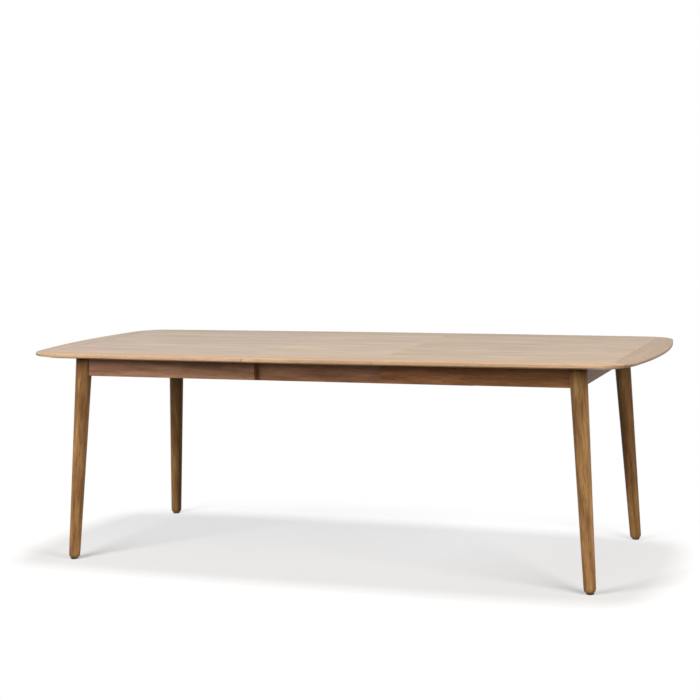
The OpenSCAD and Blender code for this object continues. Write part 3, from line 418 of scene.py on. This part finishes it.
leg_foot_radius, leg_head_radius, leg_foot_rounding = 0.02025, 0.0295, 0.019
splay_along, splay_across = 0.0455, 0.0445
glide_radius = 0.013
# The blank is this much longer than the leg, so that the saw takes its whole head off
stub = 0.022


def cut(mesh, point, normal):
    """Cuts away what lies beyond a plane, on its normal's side, and closes the cut."""
    everything = mesh.verts[:] + mesh.edges[:] + mesh.faces[:]
    made = bmesh.ops.bisect_plane(mesh, geom=everything, plane_co=point, plane_no=normal, clear_outer=True)
    rim = [edge for edge in made["geom_cut"] if isinstance(edge, bmesh.types.BMEdge)]
    bmesh.ops.contextual_create(mesh, geom=rim)


for side, sign_x in (("left", -1), ("right", 1)):
    for end, sign_y in (("front", -1), ("back", 1)):
        node = f"{side}_{end}_leg"
        low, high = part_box(node)
        under_board = high[2]
        splay = Vector((sign_x * splay_along, sign_y * splay_across, 0))
        glide_low, glide_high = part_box(f"{side}_glides")
        foot = Vector((glide_high[0] - glide_radius if sign_x > 0 else glide_low[0] + glide_radius,
                       glide_high[1] - glide_radius if sign_y > 0 else glide_low[1] + glide_radius, 0))
        lean_way = Vector((0, 0, under_board)) - splay
        leg_length = lean_way.length
        head_radius = leg_foot_radius + (leg_head_radius - leg_foot_radius) * (leg_length + stub) / leg_length
        # Each leg is turned from another billet
        grain_start = Vector((0.3 * sign_x, 0.2 * sign_y, 1.7 * sign_x + 0.4 * sign_y))
        turned_mesh = make(node + "_blank", bpy.data.meshes.new(node + "_blank"), leg_tree, leg_keys, {
            "Foot": foot, "Lean": lean_way, "Foot radius": leg_foot_radius, "Head radius": head_radius,
            "Foot rounding": leg_foot_rounding, "Length": leg_length + stub, "Grain start": grain_start,
            "Material": leg_oak[end]})
        # The saw cuts it off level at the glide and under the board
        sawn = bmesh.new()
        sawn.from_mesh(turned_mesh)
        foot_rim = [edge for edge in sawn.edges if edge.is_boundary]
        bmesh.ops.holes_fill(sawn, edges=foot_rim)
        bmesh.ops.recalc_face_normals(sawn, faces=sawn.faces)
        cut(sawn, (0, 0, low[2]), (0, 0, -1))
        cut(sawn, (0, 0, under_board), (0, 0, 1))
        bmesh.ops.recalc_face_normals(sawn, faces=sawn.faces)
        sawn.to_mesh(turned_mesh)
        sawn.free()
        leg = set_out(f"{side}_{end}_turned_leg", turned_mesh)
        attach(leg, f"{side}_half")
        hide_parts(node)

# ---- Glides and leaf pads ----
# Domed black nylon glides, knocked into the feet, and flat discs of the same nylon stuck on
# the rails, where the leaf rests.


def moulded_nylon(name, tones, roughness):
    """Moulded nylon: a faintly uneven, satin skin with a fine moulding texture."""
    # Clouds about 11 mm across. A mould's spark texture is 0.1 mm across, drawn at 0.7 mm
    cloud_rate, pit_rate, gloss_drift = 90, 1400, 0.08
    material = new_finish(name)
    tree = material.node_tree
    spot = add(tree, "ShaderNodeTexCoord")
    cloud = add(tree, "ShaderNodeTexNoise",
                {"Vector": spot.outputs["Object"], "Scale": cloud_rate, "Detail": 3.0})
    tone = add(tree, "ShaderNodeValToRGB", {"Fac": cloud.outputs[0]})
    tone.color_ramp.elements[0].color, tone.color_ramp.elements[1].color = linear(tones[0]), linear(tones[1])
    gloss = add(tree, "ShaderNodeMapRange", {"Value": cloud.outputs[0], "To Min": roughness - gloss_drift,
                                             "To Max": roughness + gloss_drift})
    pits = add(tree, "ShaderNodeTexNoise",
               {"Vector": spot.outputs["Object"], "Scale": pit_rate, "Detail": 2.0})
    bump = add(tree, "ShaderNodeBump", {"Strength": 0.2, "Distance": 0.0002, "Height": pits.outputs[0]})
    surface = add(tree, "ShaderNodeBsdfPrincipled",
                  {"Base Color": tone.outputs[0], "Roughness": gloss.outputs[0],
                   "IOR": 1.53, "Normal": bump.outputs[0]})
    add(tree, "ShaderNodeOutputMaterial", {"Surface": surface.outputs[0]})
    return material


def finish(node, material):
    """Gives a node of the frame its finish."""
    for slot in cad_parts[node].material_slots:
        slot.material = material


# Nylon coloured nearly black, with a warm cast
black_nylon = moulded_nylon("black_moulded_nylon", ("#2b2724", "#3b3632"), 0.5)
for node in ("left_glides", "right_glides", "leaf_pads"):
    finish(node, black_nylon)

# ---- Aprons ----
# Straight bars of stained oak between the legs, lower edges rounded over, with their grain
# along them. Each half has two side aprons, open at the seam, and one across its end.

# Sawn and planed oak with the legs' stain: each half's aprons come from one plank. The left half's
# tones are lighter and pinker, partly the plank's own and partly a painted sheen of light from the left
for side, sign_x, tones in (("left", -1, ("#8d6750", "#a67d63", "#ba9177")),
                            ("right", 1, ("#754f31", "#8f6140", "#a67751"))):
    for end, turn, start in (("front", 0, (1.3 * sign_x, -0.7, 0)), ("back", 0, (1.3 * sign_x, 0.7, 0)),
                             ("end", quarter, (0.4, 0.9 * sign_x, 0))):
        finish(f"{side}_{end}_apron",
               grained_wood(f"stained_oak_{side}_{end}_apron", tones, turn=(0, 0, turn),
                            start=start, lustre=stain_lustre))

# ---- Corner blocks, bolts, nuts and clips ----
# Planed beech blocks between the aprons, each drawn against its leg by two bolts with
# hexagon nuts. Bent steel clips hold the boards down to the aprons. All steel is zinc plated.

# Beech planed and left bare: even and pale, with close rings and hardly any pores
beech_tones, beech_ring, beech_pore, planed_roughness = ("#b08b66", "#c29c74", "#cfab84"), 0.006, 0.12, 0.6
planed_beech, across_beech = [
    grained_wood(name, beech_tones, turn=(0, 0, turn), ring=beech_ring, pore=beech_pore,
                 roughness=planed_roughness)
    for name, turn in (("planed_beech", 0), ("planed_beech_across", quarter))]

# Mild steel, zinc plated and passivated: pale grey with a faint yellow cast, in clouds about
# 4 mm across, and a satin shine. Its rolling marks are drawn at 0.5 mm
cloud_rate, mark_rate = 260, 2000
zinc_plate = new_finish("bright_zinc_plated_steel")
tree = zinc_plate.node_tree
spot = add(tree, "ShaderNodeTexCoord")
cloud = add(tree, "ShaderNodeTexNoise",
            {"Vector": spot.outputs["Object"], "Scale": cloud_rate, "Detail": 3.0})
tone = add(tree, "ShaderNodeValToRGB", {"Fac": cloud.outputs[0]})
tone.color_ramp.elements[0].color, tone.color_ramp.elements[1].color = linear("#a6a49c"), linear("#c6c8ca")
gloss = add(tree, "ShaderNodeMapRange", {"Value": cloud.outputs[0], "To Min": 0.28, "To Max": 0.46})
marks = add(tree, "ShaderNodeTexNoise", {"Vector": spot.outputs["Object"], "Scale": mark_rate, "Detail": 1.0})
bump = add(tree, "ShaderNodeBump", {"Strength": 0.15, "Distance": 0.0001, "Height": marks.outputs[0]})
surface = add(tree, "ShaderNodeBsdfPrincipled", {"Base Color": tone.outputs[0], "Metallic": 1.0,
                                                 "Roughness": gloss.outputs[0], "Normal": bump.outputs[0]})
add(tree, "ShaderNodeOutputMaterial", {"Surface": surface.outputs[0]})

for side in ("left", "right"):
    finish(f"{side}_corner_blocks", planed_beech)
    for part in ("leg_bolts", "leg_nuts", "clips"):
        finish(f"{side}_{part}", zinc_plate)

# ---- Runners and racks of the halves ----
# Beech runners screwed under each board slide in the rails' grooves. A block screwed beside
# them carries the steel rack, which is cut with straight-sided teeth.

for side in ("left", "right"):
    finish(f"{side}_runners", planed_beech)
    finish(f"{side}_rack_block", planed_beech)
    finish(f"{side}_rack", zinc_plate)

# ---- Sliding frame ----
# Two stained oak rails, grooved inside for the runners, with beech cross rails and a beech
# board housed between them.

# The aprons' stained oak, from a third plank
rail_tones = ("#88614a", "#a6795b", "#be9373")
for node, start in (("front_rail", (0.5, 0.3, 0)), ("back_rail", (2.5, 1.3, 0))):
    finish(node, grained_wood("stained_oak_" + node, rail_tones, start=start, lustre=stain_lustre))
for node in ("left_cross_rail", "right_cross_rail", "gear_board"):
    finish(node, across_beech)

# ---- Pinion ----
# A white nylon pinion on a shouldered steel axle in the middle of the board. It drives the
# two racks apart by the same amount, and nylon guides keep them in mesh.

# Nylon left in its own colour, an off-white that looks a little waxy
white_nylon = moulded_nylon("white_moulded_nylon", ("#dedacd", "#ebe8de"), 0.46)
finish("pinion", white_nylon)
finish("rack_guides", white_nylon)
finish("pinion_axle", zinc_plate)

# ---- Boards ----
# Chipboard fields veneered with oak, grain along the table, lacquered matt. The veneer is
# laid in leaves about 190 mm wide, so their tones change a little from one to the next.

# Sliced oak under white-pigmented lacquer: pale, greyish and silky, with shallow pores
veneer_leaf, leaf_tint, veneer_pore = (0.19, 6.0), 0.02, 0.18
for node, start, tones in (("left_field", (8.0, 0.03, 0), ("#b09782", "#c1a893", "#cfb8a4")),
                           ("leaf_field", (8.0, 0.03, 0), ("#b89d84", "#c6ae94", "#d3bda3")),
                           ("right_field", (8.8, 0.03, 0), ("#ae947a", "#c0a68a", "#cfb79c"))):
    finish(node, grained_wood("matt_lacquered_veneer_" + node, tones, start=start, stave=veneer_leaf,
                              stave_tint=leaf_tint, pore=veneer_pore))

# ---- Borders ----
# Solid oak lipping glued round the fields and mitred at the corners. The long sides and the
# ends bow out in shallow arcs, the edge is rounded over, and a wide bevel thins it below.

board_top = cad_box[1][2]
board_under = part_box("leaf_front_border")[0][2]
half_length, half_width = cad_box[1][0], cad_box[1][1]
side_bow, end_bow, corner_radius = 0.028, 0.055, 0.114
edge_height, bevel_width, edge_round, edge_turn = 0.0105, 0.050, 0.002, 0.002
side_steps, corner_steps, end_steps, turn_steps, round_steps = 40, 28, 48, 7, 5
side_radius = (half_length ** 2 + side_bow ** 2) / (2 * side_bow)
end_radius = (half_width ** 2 + end_bow ** 2) / (2 * end_bow)
side_centre = Vector((0, side_radius - half_width))
end_centre = Vector((half_length - end_radius, 0))
# The corner arc touches both: its centre lies where the two arcs meet, set in by its radius
reach_side, reach_end = side_radius - corner_radius, end_radius - corner_radius
apart = (end_centre - side_centre).length
along = (reach_side ** 2 - reach_end ** 2 + apart ** 2) / (2 * apart)
toward = (end_centre - side_centre) / apart
corner_centre = (side_centre + toward * along
                 + Vector((-toward.y, toward.x)) * math.sqrt(reach_side ** 2 - along ** 2))
side_angle = math.atan2(corner_centre.y - side_centre.y, corner_centre.x - side_centre.x)
end_angle = math.atan2(corner_centre.y - end_centre.y, corner_centre.x - end_centre.x)


def arc(centre, radius, start, stop, steps):
    """Points along an arc, without its last one."""
    angles = [start + (stop - start) * i / steps for i in range(steps)]
    return [Vector((centre[0] + radius * math.cos(a), centre[1] + radius * math.sin(a))) for a in angles]


def outline(inset):
    """Outline of the top, a distance inside its edge, round from the front."""
    back_corner_centre = (corner_centre.x, -corner_centre.y)
    right_side = (arc(side_centre, side_radius - inset, -quarter, side_angle, side_steps)
                  + arc(corner_centre, corner_radius - inset, side_angle, end_angle, corner_steps)
                  + arc(end_centre, end_radius - inset, end_angle, -end_angle, end_steps)
                  + arc(back_corner_centre, corner_radius - inset, -end_angle, -side_angle, corner_steps)
                  + arc((0, -side_centre.y), side_radius - inset, -side_angle, quarter, side_steps))
    return right_side + [-point for point in right_side]


# The profile runs from the bevel's inner line, round its turn into the edge, up the edge, and
# over its rounded top, as distances inside the outline and heights
turn_angle = quarter - math.atan2(board_top - board_under - edge_height, bevel_width)
turn_height = board_top - edge_height + edge_turn * math.tan(turn_angle / 2)
profile = [(bevel_width, board_under)]
profile += [(edge_turn * (1 - math.cos(a)), turn_height - edge_turn * math.sin(a))
            for a in (turn_angle * (1 - i / turn_steps) for i in range(turn_steps + 1))]
profile += [(edge_round * (1 - math.cos(a)), board_top - edge_round * (1 - math.sin(a)))
            for a in (quarter * i / round_steps for i in range(round_steps + 1))]

whole = bmesh.new()
rings = [[whole.verts.new((p.x, p.y, z)) for p in outline(inset)] for inset, z in profile]
count = len(rings[0])
for lower, upper in zip(rings, rings[1:]):
    for i in range(count):
        j = (i + 1) % count
        face = whole.faces.new((lower[i], lower[j], upper[j], upper[i]))
        face.smooth = True
whole.faces.new(reversed(rings[0]))
whole.faces.new(rings[-1])
whole_board = bpy.data.meshes.new("whole_board")
whole.to_mesh(whole_board)
whole.free()

seam_chamfer = 0.0007
half_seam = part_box("right_field")[0][0]
field_x, field_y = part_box("right_field")[1][:2]
leaf_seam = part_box("leaf_field")[1][0]
seam_middle = (half_seam + leaf_seam) / 2
border_tones = {"front": ("#bd9671", "#caa47f", "#d3af8b"), "back": ("#ad9275", "#b99e81", "#c3a98c"),
                "left_end": ("#b1967f", "#bda38b", "#c7af98"), "right_end": ("#a98a6c", "#b39274", "#bb9c7e")}
# The painted shade on the edge: how far out along the table it starts and is full, how dark it
# gets, and the shares of the edge's height, from its top, at which it starts and is full
edge_shade_from, edge_shade_to, edge_shade_tint = 0.98, 1.06, 0.45
unshaded_share, shaded_share = 0.2, 0.5


def painted_edge_shade(material):
    """Darkens the lower half of the edge round the corners and ends: painted shade."""
    tree = material.node_tree
    spot = add(tree, "ShaderNodeTexCoord")
    spot = add(tree, "ShaderNodeSeparateXYZ", {0: spot.outputs["Object"]})
    outwards = add(tree, "ShaderNodeMath", {0: spot.outputs["X"]}, operation="ABSOLUTE")
    outwards = add(tree, "ShaderNodeMapRange", {"Value": outwards.outputs[0], "From Min": edge_shade_from,
                                                "From Max": edge_shade_to}, interpolation_type="SMOOTHSTEP")
    lower = add(tree, "ShaderNodeMapRange", {"Value": spot.outputs["Z"],
                                             "From Min": board_top - unshaded_share * edge_height,
                                             "From Max": board_top - shaded_share * edge_height})
    painted_shade = add(tree, "ShaderNodeMath", {0: outwards.outputs[0], 1: lower.outputs[0]}, operation="MULTIPLY")
    deepen(material, painted_shade, 1.0, edge_shade_tint)


def border(name, body, node, planes, tones, turn, start):
    """A length of lipping: the whole board cut down by planes, each a point and an outward normal."""
    piece = bmesh.new()
    piece.from_mesh(whole_board)
    for point, normal in planes:
        cut(piece, point, normal)
    bmesh.ops.recalc_face_normals(piece, faces=piece.faces)
    mesh = bpy.data.meshes.new(name)
    piece.to_mesh(mesh)
    piece.free()
    # Solid oak, warmer than the veneer under the same lacquer, each length from one stave
    lipping_oak = grained_wood("lacquered_lipping_" + node, tones, turn=(0, 0, turn), start=start,
                               stave=(0.5, 4.0), stave_tint=0.0, pore=0.22)
    # Painted shade on the lower half of the edge round the corners and ends
    painted_edge_shade(lipping_oak)
    mesh.materials.append(lipping_oak)
    lipping = set_out(name, mesh)
    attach(lipping, body)
    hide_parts(node)


for end, sign_y in (("front", -1), ("back", 1)):
    inner = ((0, sign_y * field_y, 0), (0, -sign_y, 0))
    for side, sign_x in (("left", -1), ("right", 1)):
        border(f"{side}_{end}_lipping", f"{side}_half", f"{side}_{end}_border",
               [inner, ((sign_x * half_seam, 0, 0), (-sign_x, 0, 0)),
                ((sign_x * (seam_middle + seam_chamfer), 0, board_top), (-sign_x, 0, 1)),
                ((sign_x * field_x, sign_y * field_y, 0), (sign_x, -sign_y, 0))],
               border_tones[end], 0, (0.7 * sign_x, 1.1 * sign_y, 0))
    border(f"leaf_{end}_lipping", "leaf", f"leaf_{end}_border",
           [inner, ((leaf_seam, 0, 0), (1, 0, 0)), ((-leaf_seam, 0, 0), (-1, 0, 0)),
            ((seam_middle - seam_chamfer, 0, board_top), (1, 0, 1)),
            ((seam_chamfer - seam_middle, 0, board_top), (-1, 0, 1))],
           border_tones[end], 0, (2.2, 0.6 * sign_y, 0))
for side, sign_x in (("left", -1), ("right", 1)):
    border(f"{side}_end_lipping", f"{side}_half", f"{side}_end_border",
           [((sign_x * field_x, 0, 0), (-sign_x, 0, 0))]
           + [((sign_x * field_x, sign_y * field_y, 0), (-sign_x, sign_y, 0)) for sign_y in (-1, 1)],
           border_tones[side + "_end"], quarter, (0.3, 1.7 * sign_x, 0))

# ---- Leaf ----
# The loose leaf is stiffened by two beech battens, screwed on, and placed by four beech pins.
# Steel studs on one side and latches on the other hook it to the halves.

for node in ("leaf_battens", "leaf_pins"):
    finish(node, across_beech)
for node in ("leaf_studs", "right_studs", "left_latch_pivots", "right_latch_pivots",
             "left_front_latch", "left_back_latch", "right_front_latch", "right_back_latch"):
    finish(node, zinc_plate)

# ---- Screws ----
# Zinc-plated countersunk screws, 8 mm across the head, with a cross recess. They hold the
# runners, clips, racks, battens and rack guides. Each rack also carries a headed stop pin.

screw_head_radius, screw_shank_radius, recess_length, recess_width = 0.004, 0.002, 0.0048, 0.0011
stop_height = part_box("left_rack")[1][2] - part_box("left_rack")[0][2]
head_facets, shank_facets, chance_seed = 24, 12, 4
# The cutter for the cross is this many heads tall, and half of it stands out of the head
recess_heads = 1.5
# A point is this many shank radii long
point_radii = 2.0
# Stop pins are narrower than the screws' heads by at least this much
width_margin = 0.0005
# Edges that bend by more than this angle stay sharp
sharp_bend = 0.6
weld_reach = 1e-5

screw_tree, screw_keys, group = new_maker("wood_screws", (
    ("Places", "Geometry"), ("Way", "Vector"), ("Head radius", "Float"), ("Shank radius", "Float"),
    ("Recess length", "Float"), ("Recess width", "Float"), ("Stop height", "Float"), ("Seed", "Int"),
    ("Material", "Material")))
screw_length = add(screw_tree, "GeometryNodeInputNamedAttribute", {"Name": "length"}, data_type="FLOAT")
head_width = add(screw_tree, "GeometryNodeInputNamedAttribute", {"Name": "width"}, data_type="FLOAT")
is_screw = add(screw_tree, "FunctionNodeCompare",
               {0: head_width.outputs[0], 1: 2 * screw_head_radius - width_margin},
               data_type="FLOAT", operation="GREATER_THAN")
is_stop = add(screw_tree, "FunctionNodeBooleanMath", {0: is_screw.outputs[0]}, operation="NOT")
facing = add(screw_tree, "FunctionNodeAlignRotationToVector", {"Vector": group["Way"]}, axis="Z")
# Heads end at chance angles, as a screwdriver leaves them
spin = add(screw_tree, "FunctionNodeRandomValue", {"Max": quarter, "Seed": group["Seed"]}, data_type="FLOAT")
spin = add(screw_tree, "ShaderNodeCombineXYZ", {2: spin.outputs[1]})

head_depth = add(screw_tree, "ShaderNodeMath", {0: group["Head radius"], 1: group["Shank radius"]},
                 operation="SUBTRACT")
head = add(screw_tree, "GeometryNodeMeshCone", {"Vertices": head_facets, "Radius Top": group["Shank radius"],
                                                "Radius Bottom": group["Head radius"],
                                                "Depth": head_depth.outputs[0]})
recess_depth = add(screw_tree, "ShaderNodeMath", {0: head_depth.outputs[0], 1: recess_heads},
                   operation="MULTIPLY")
slot_along = add(screw_tree, "ShaderNodeCombineXYZ", {0: group["Recess length"], 1: group["Recess width"],
                                                      2: recess_depth.outputs[0]})
slot_across = add(screw_tree, "ShaderNodeCombineXYZ", {0: group["Recess width"], 1: group["Recess length"],
                                                       2: recess_depth.outputs[0]})
slot_along = add(screw_tree, "GeometryNodeMeshCube", {"Size": slot_along.outputs[0]})
slot_across = add(screw_tree, "GeometryNodeMeshCube", {"Size": slot_across.outputs[0]})
recessed = add(screw_tree, "GeometryNodeMeshBoolean",
               {"Mesh 1": head.outputs[0], "Mesh 2": slot_along.outputs[0],
                "Self Intersection": True},
               operation="DIFFERENCE", solver="EXACT")
screw_tree.links.new(slot_across.outputs[0], recessed.inputs["Mesh 2"])
heads = add(screw_tree, "GeometryNodeInstanceOnPoints",
            {"Points": group["Places"], "Selection": is_screw.outputs[0],
             "Instance": recessed.outputs[0],
             "Rotation": facing.outputs[0]})
heads = add(screw_tree, "GeometryNodeRotateInstances",
            {"Instances": heads.outputs[0], "Rotation": spin.outputs[0]})

# The shank runs from the head to the point, which ends at the screw's length
point_length = add(screw_tree, "ShaderNodeMath", {0: group["Shank radius"], 1: point_radii},
                   operation="MULTIPLY")
shank_end = add(screw_tree, "ShaderNodeMath", {0: screw_length.outputs[0], 1: point_length.outputs[0]},
                operation="SUBTRACT")
shank_length = add(screw_tree, "ShaderNodeMath", {0: shank_end.outputs[0], 1: head_depth.outputs[0]},
                   operation="SUBTRACT")
shank_start_at = add(screw_tree, "ShaderNodeVectorMath", {0: group["Way"], "Scale": head_depth.outputs[0]},
                     operation="SCALE")
shank_end_at = add(screw_tree, "ShaderNodeVectorMath", {0: group["Way"], "Scale": shank_end.outputs[0]},
                   operation="SCALE")
shank_scale = add(screw_tree, "ShaderNodeCombineXYZ", {0: 1.0, 1: 1.0, 2: shank_length.outputs[0]})
shank = add(screw_tree, "GeometryNodeMeshCone",
            {"Vertices": shank_facets, "Radius Top": group["Shank radius"],
             "Radius Bottom": group["Shank radius"], "Depth": 1.0})
starts = add(screw_tree, "GeometryNodeSetPosition", {"Geometry": group["Places"],
                                                     "Offset": shank_start_at.outputs[0]})
shanks = add(screw_tree, "GeometryNodeInstanceOnPoints", {"Points": starts.outputs[0],
                                                          "Selection": is_screw.outputs[0],
                                                          "Instance": shank.outputs[0],
                                                          "Rotation": facing.outputs[0],
                                                          "Scale": shank_scale.outputs[0]})
point = add(screw_tree, "GeometryNodeMeshCone", {"Vertices": shank_facets, "Radius Top": 0.0,
                                                 "Radius Bottom": group["Shank radius"],
                                                 "Depth": point_length.outputs[0]})
ends = add(screw_tree, "GeometryNodeSetPosition",
           {"Geometry": group["Places"], "Offset": shank_end_at.outputs[0]})
points = add(screw_tree, "GeometryNodeInstanceOnPoints", {"Points": ends.outputs[0],
                                                          "Selection": is_screw.outputs[0],
                                                          "Instance": point.outputs[0],
                                                          "Rotation": facing.outputs[0]})

# The stop pin: a shank through the rack, and above it a wider head
stop_radius = add(screw_tree, "ShaderNodeMath", {0: head_width.outputs[0], 1: 0.5}, operation="MULTIPLY")
stop_head_height = add(screw_tree, "ShaderNodeMath", {0: screw_length.outputs[0], 1: group["Stop height"]},
                       operation="SUBTRACT")
stop_head_scale = add(screw_tree, "ShaderNodeCombineXYZ",
                      {0: stop_radius.outputs[0], 1: stop_radius.outputs[0],
                       2: stop_head_height.outputs[0]})
stop_shank_scale = add(screw_tree, "ShaderNodeCombineXYZ",
                       {0: group["Shank radius"], 1: group["Shank radius"],
                        2: group["Stop height"]})
stop_rise = add(screw_tree, "ShaderNodeCombineXYZ", {2: group["Stop height"]})
drum = add(screw_tree, "GeometryNodeMeshCone", {"Vertices": head_facets, "Radius Top": 1.0,
                                                "Radius Bottom": 1.0, "Depth": 1.0})
stop_shanks = add(screw_tree, "GeometryNodeInstanceOnPoints", {"Points": group["Places"],
                                                               "Selection": is_stop.outputs[0],
                                                               "Instance": drum.outputs[0],
                                                               "Scale": stop_shank_scale.outputs[0]})
raised = add(screw_tree, "GeometryNodeSetPosition",
             {"Geometry": group["Places"], "Offset": stop_rise.outputs[0]})
stop_heads = add(screw_tree, "GeometryNodeInstanceOnPoints", {"Points": raised.outputs[0],
                                                              "Selection": is_stop.outputs[0],
                                                              "Instance": drum.outputs[0],
                                                              "Scale": stop_head_scale.outputs[0]})

gathered = add(screw_tree, "GeometryNodeJoinGeometry")
for parts in (heads, shanks, points, stop_shanks, stop_heads):
    screw_tree.links.new(parts.outputs[0], gathered.inputs[0])
realized = add(screw_tree, "GeometryNodeRealizeInstances", {"Geometry": gathered.outputs[0]})
bend = add(screw_tree, "GeometryNodeInputMeshEdgeAngle")
sharp = add(screw_tree, "FunctionNodeCompare", {0: bend.outputs["Unsigned Angle"], 1: sharp_bend},
            data_type="FLOAT",
            operation="GREATER_THAN")
edged = add(screw_tree, "GeometryNodeStoreNamedAttribute",
            {"Geometry": realized.outputs[0], "Name": "sharp_edge",
             "Value": sharp.outputs[0]},
            data_type="BOOLEAN", domain="EDGE")
smooth = add(screw_tree, "GeometryNodeSetShadeSmooth", {"Geometry": edged.outputs[0], "Shade Smooth": True})
finished = add(screw_tree, "GeometryNodeSetMaterial",
               {"Geometry": smooth.outputs[0], "Material": group["Material"]})
add(screw_tree, "NodeGroupOutput", {"Geometry": finished.outputs[0]})

for node, body, way in (("left_screws", "left_half", 1), ("right_screws", "right_half", 1),
                        ("leaf_screws", "leaf", 1), ("frame_screws", "centre_frame", -1)):
    # Each loose part of the node is one screw: its place, length and width are read from it
    cad_screws = bmesh.new()
    cad_screws.from_mesh(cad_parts[node].data)
    bmesh.ops.remove_doubles(cad_screws, verts=cad_screws.verts, dist=weld_reach)
    places = []
    waiting = set(cad_screws.verts)
    while waiting:
        reached = [waiting.pop()]
        for vert in reached:
            for edge in vert.link_edges:
                other = edge.other_vert(vert)
                if other in waiting:
                    waiting.discard(other)
                    reached.append(other)
        low = Vector([min(vert.co[axis] for vert in reached) for axis in range(3)])
        high = Vector([max(vert.co[axis] for vert in reached) for axis in range(3)])
        spot = (low + high) / 2
        spot.z = low.z if way > 0 else high.z
        places.append((tuple(spot), high.z - low.z, high.x - low.x))
    cad_screws.free()
    places.sort()
    dots = bpy.data.meshes.new(node + "_places")
    dots.from_pydata([spot for spot, length, width in places], [], [])
    for name, column in (("length", 1), ("width", 2)):
        values = dots.attributes.new(name, "FLOAT", "POINT")
        values.data.foreach_set("value", [place[column] for place in places])
    screws_mesh = make(node + "_places", dots, screw_tree, screw_keys, {
        "Way": (0, 0, way), "Head radius": screw_head_radius, "Shank radius": screw_shank_radius,
        "Recess length": recess_length, "Recess width": recess_width, "Stop height": stop_height,
        "Seed": chance_seed, "Material": zinc_plate})
    screws = set_out(node.replace("screws", "wood_screws"), screws_mesh)
    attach(screws, body)
    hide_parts(node)
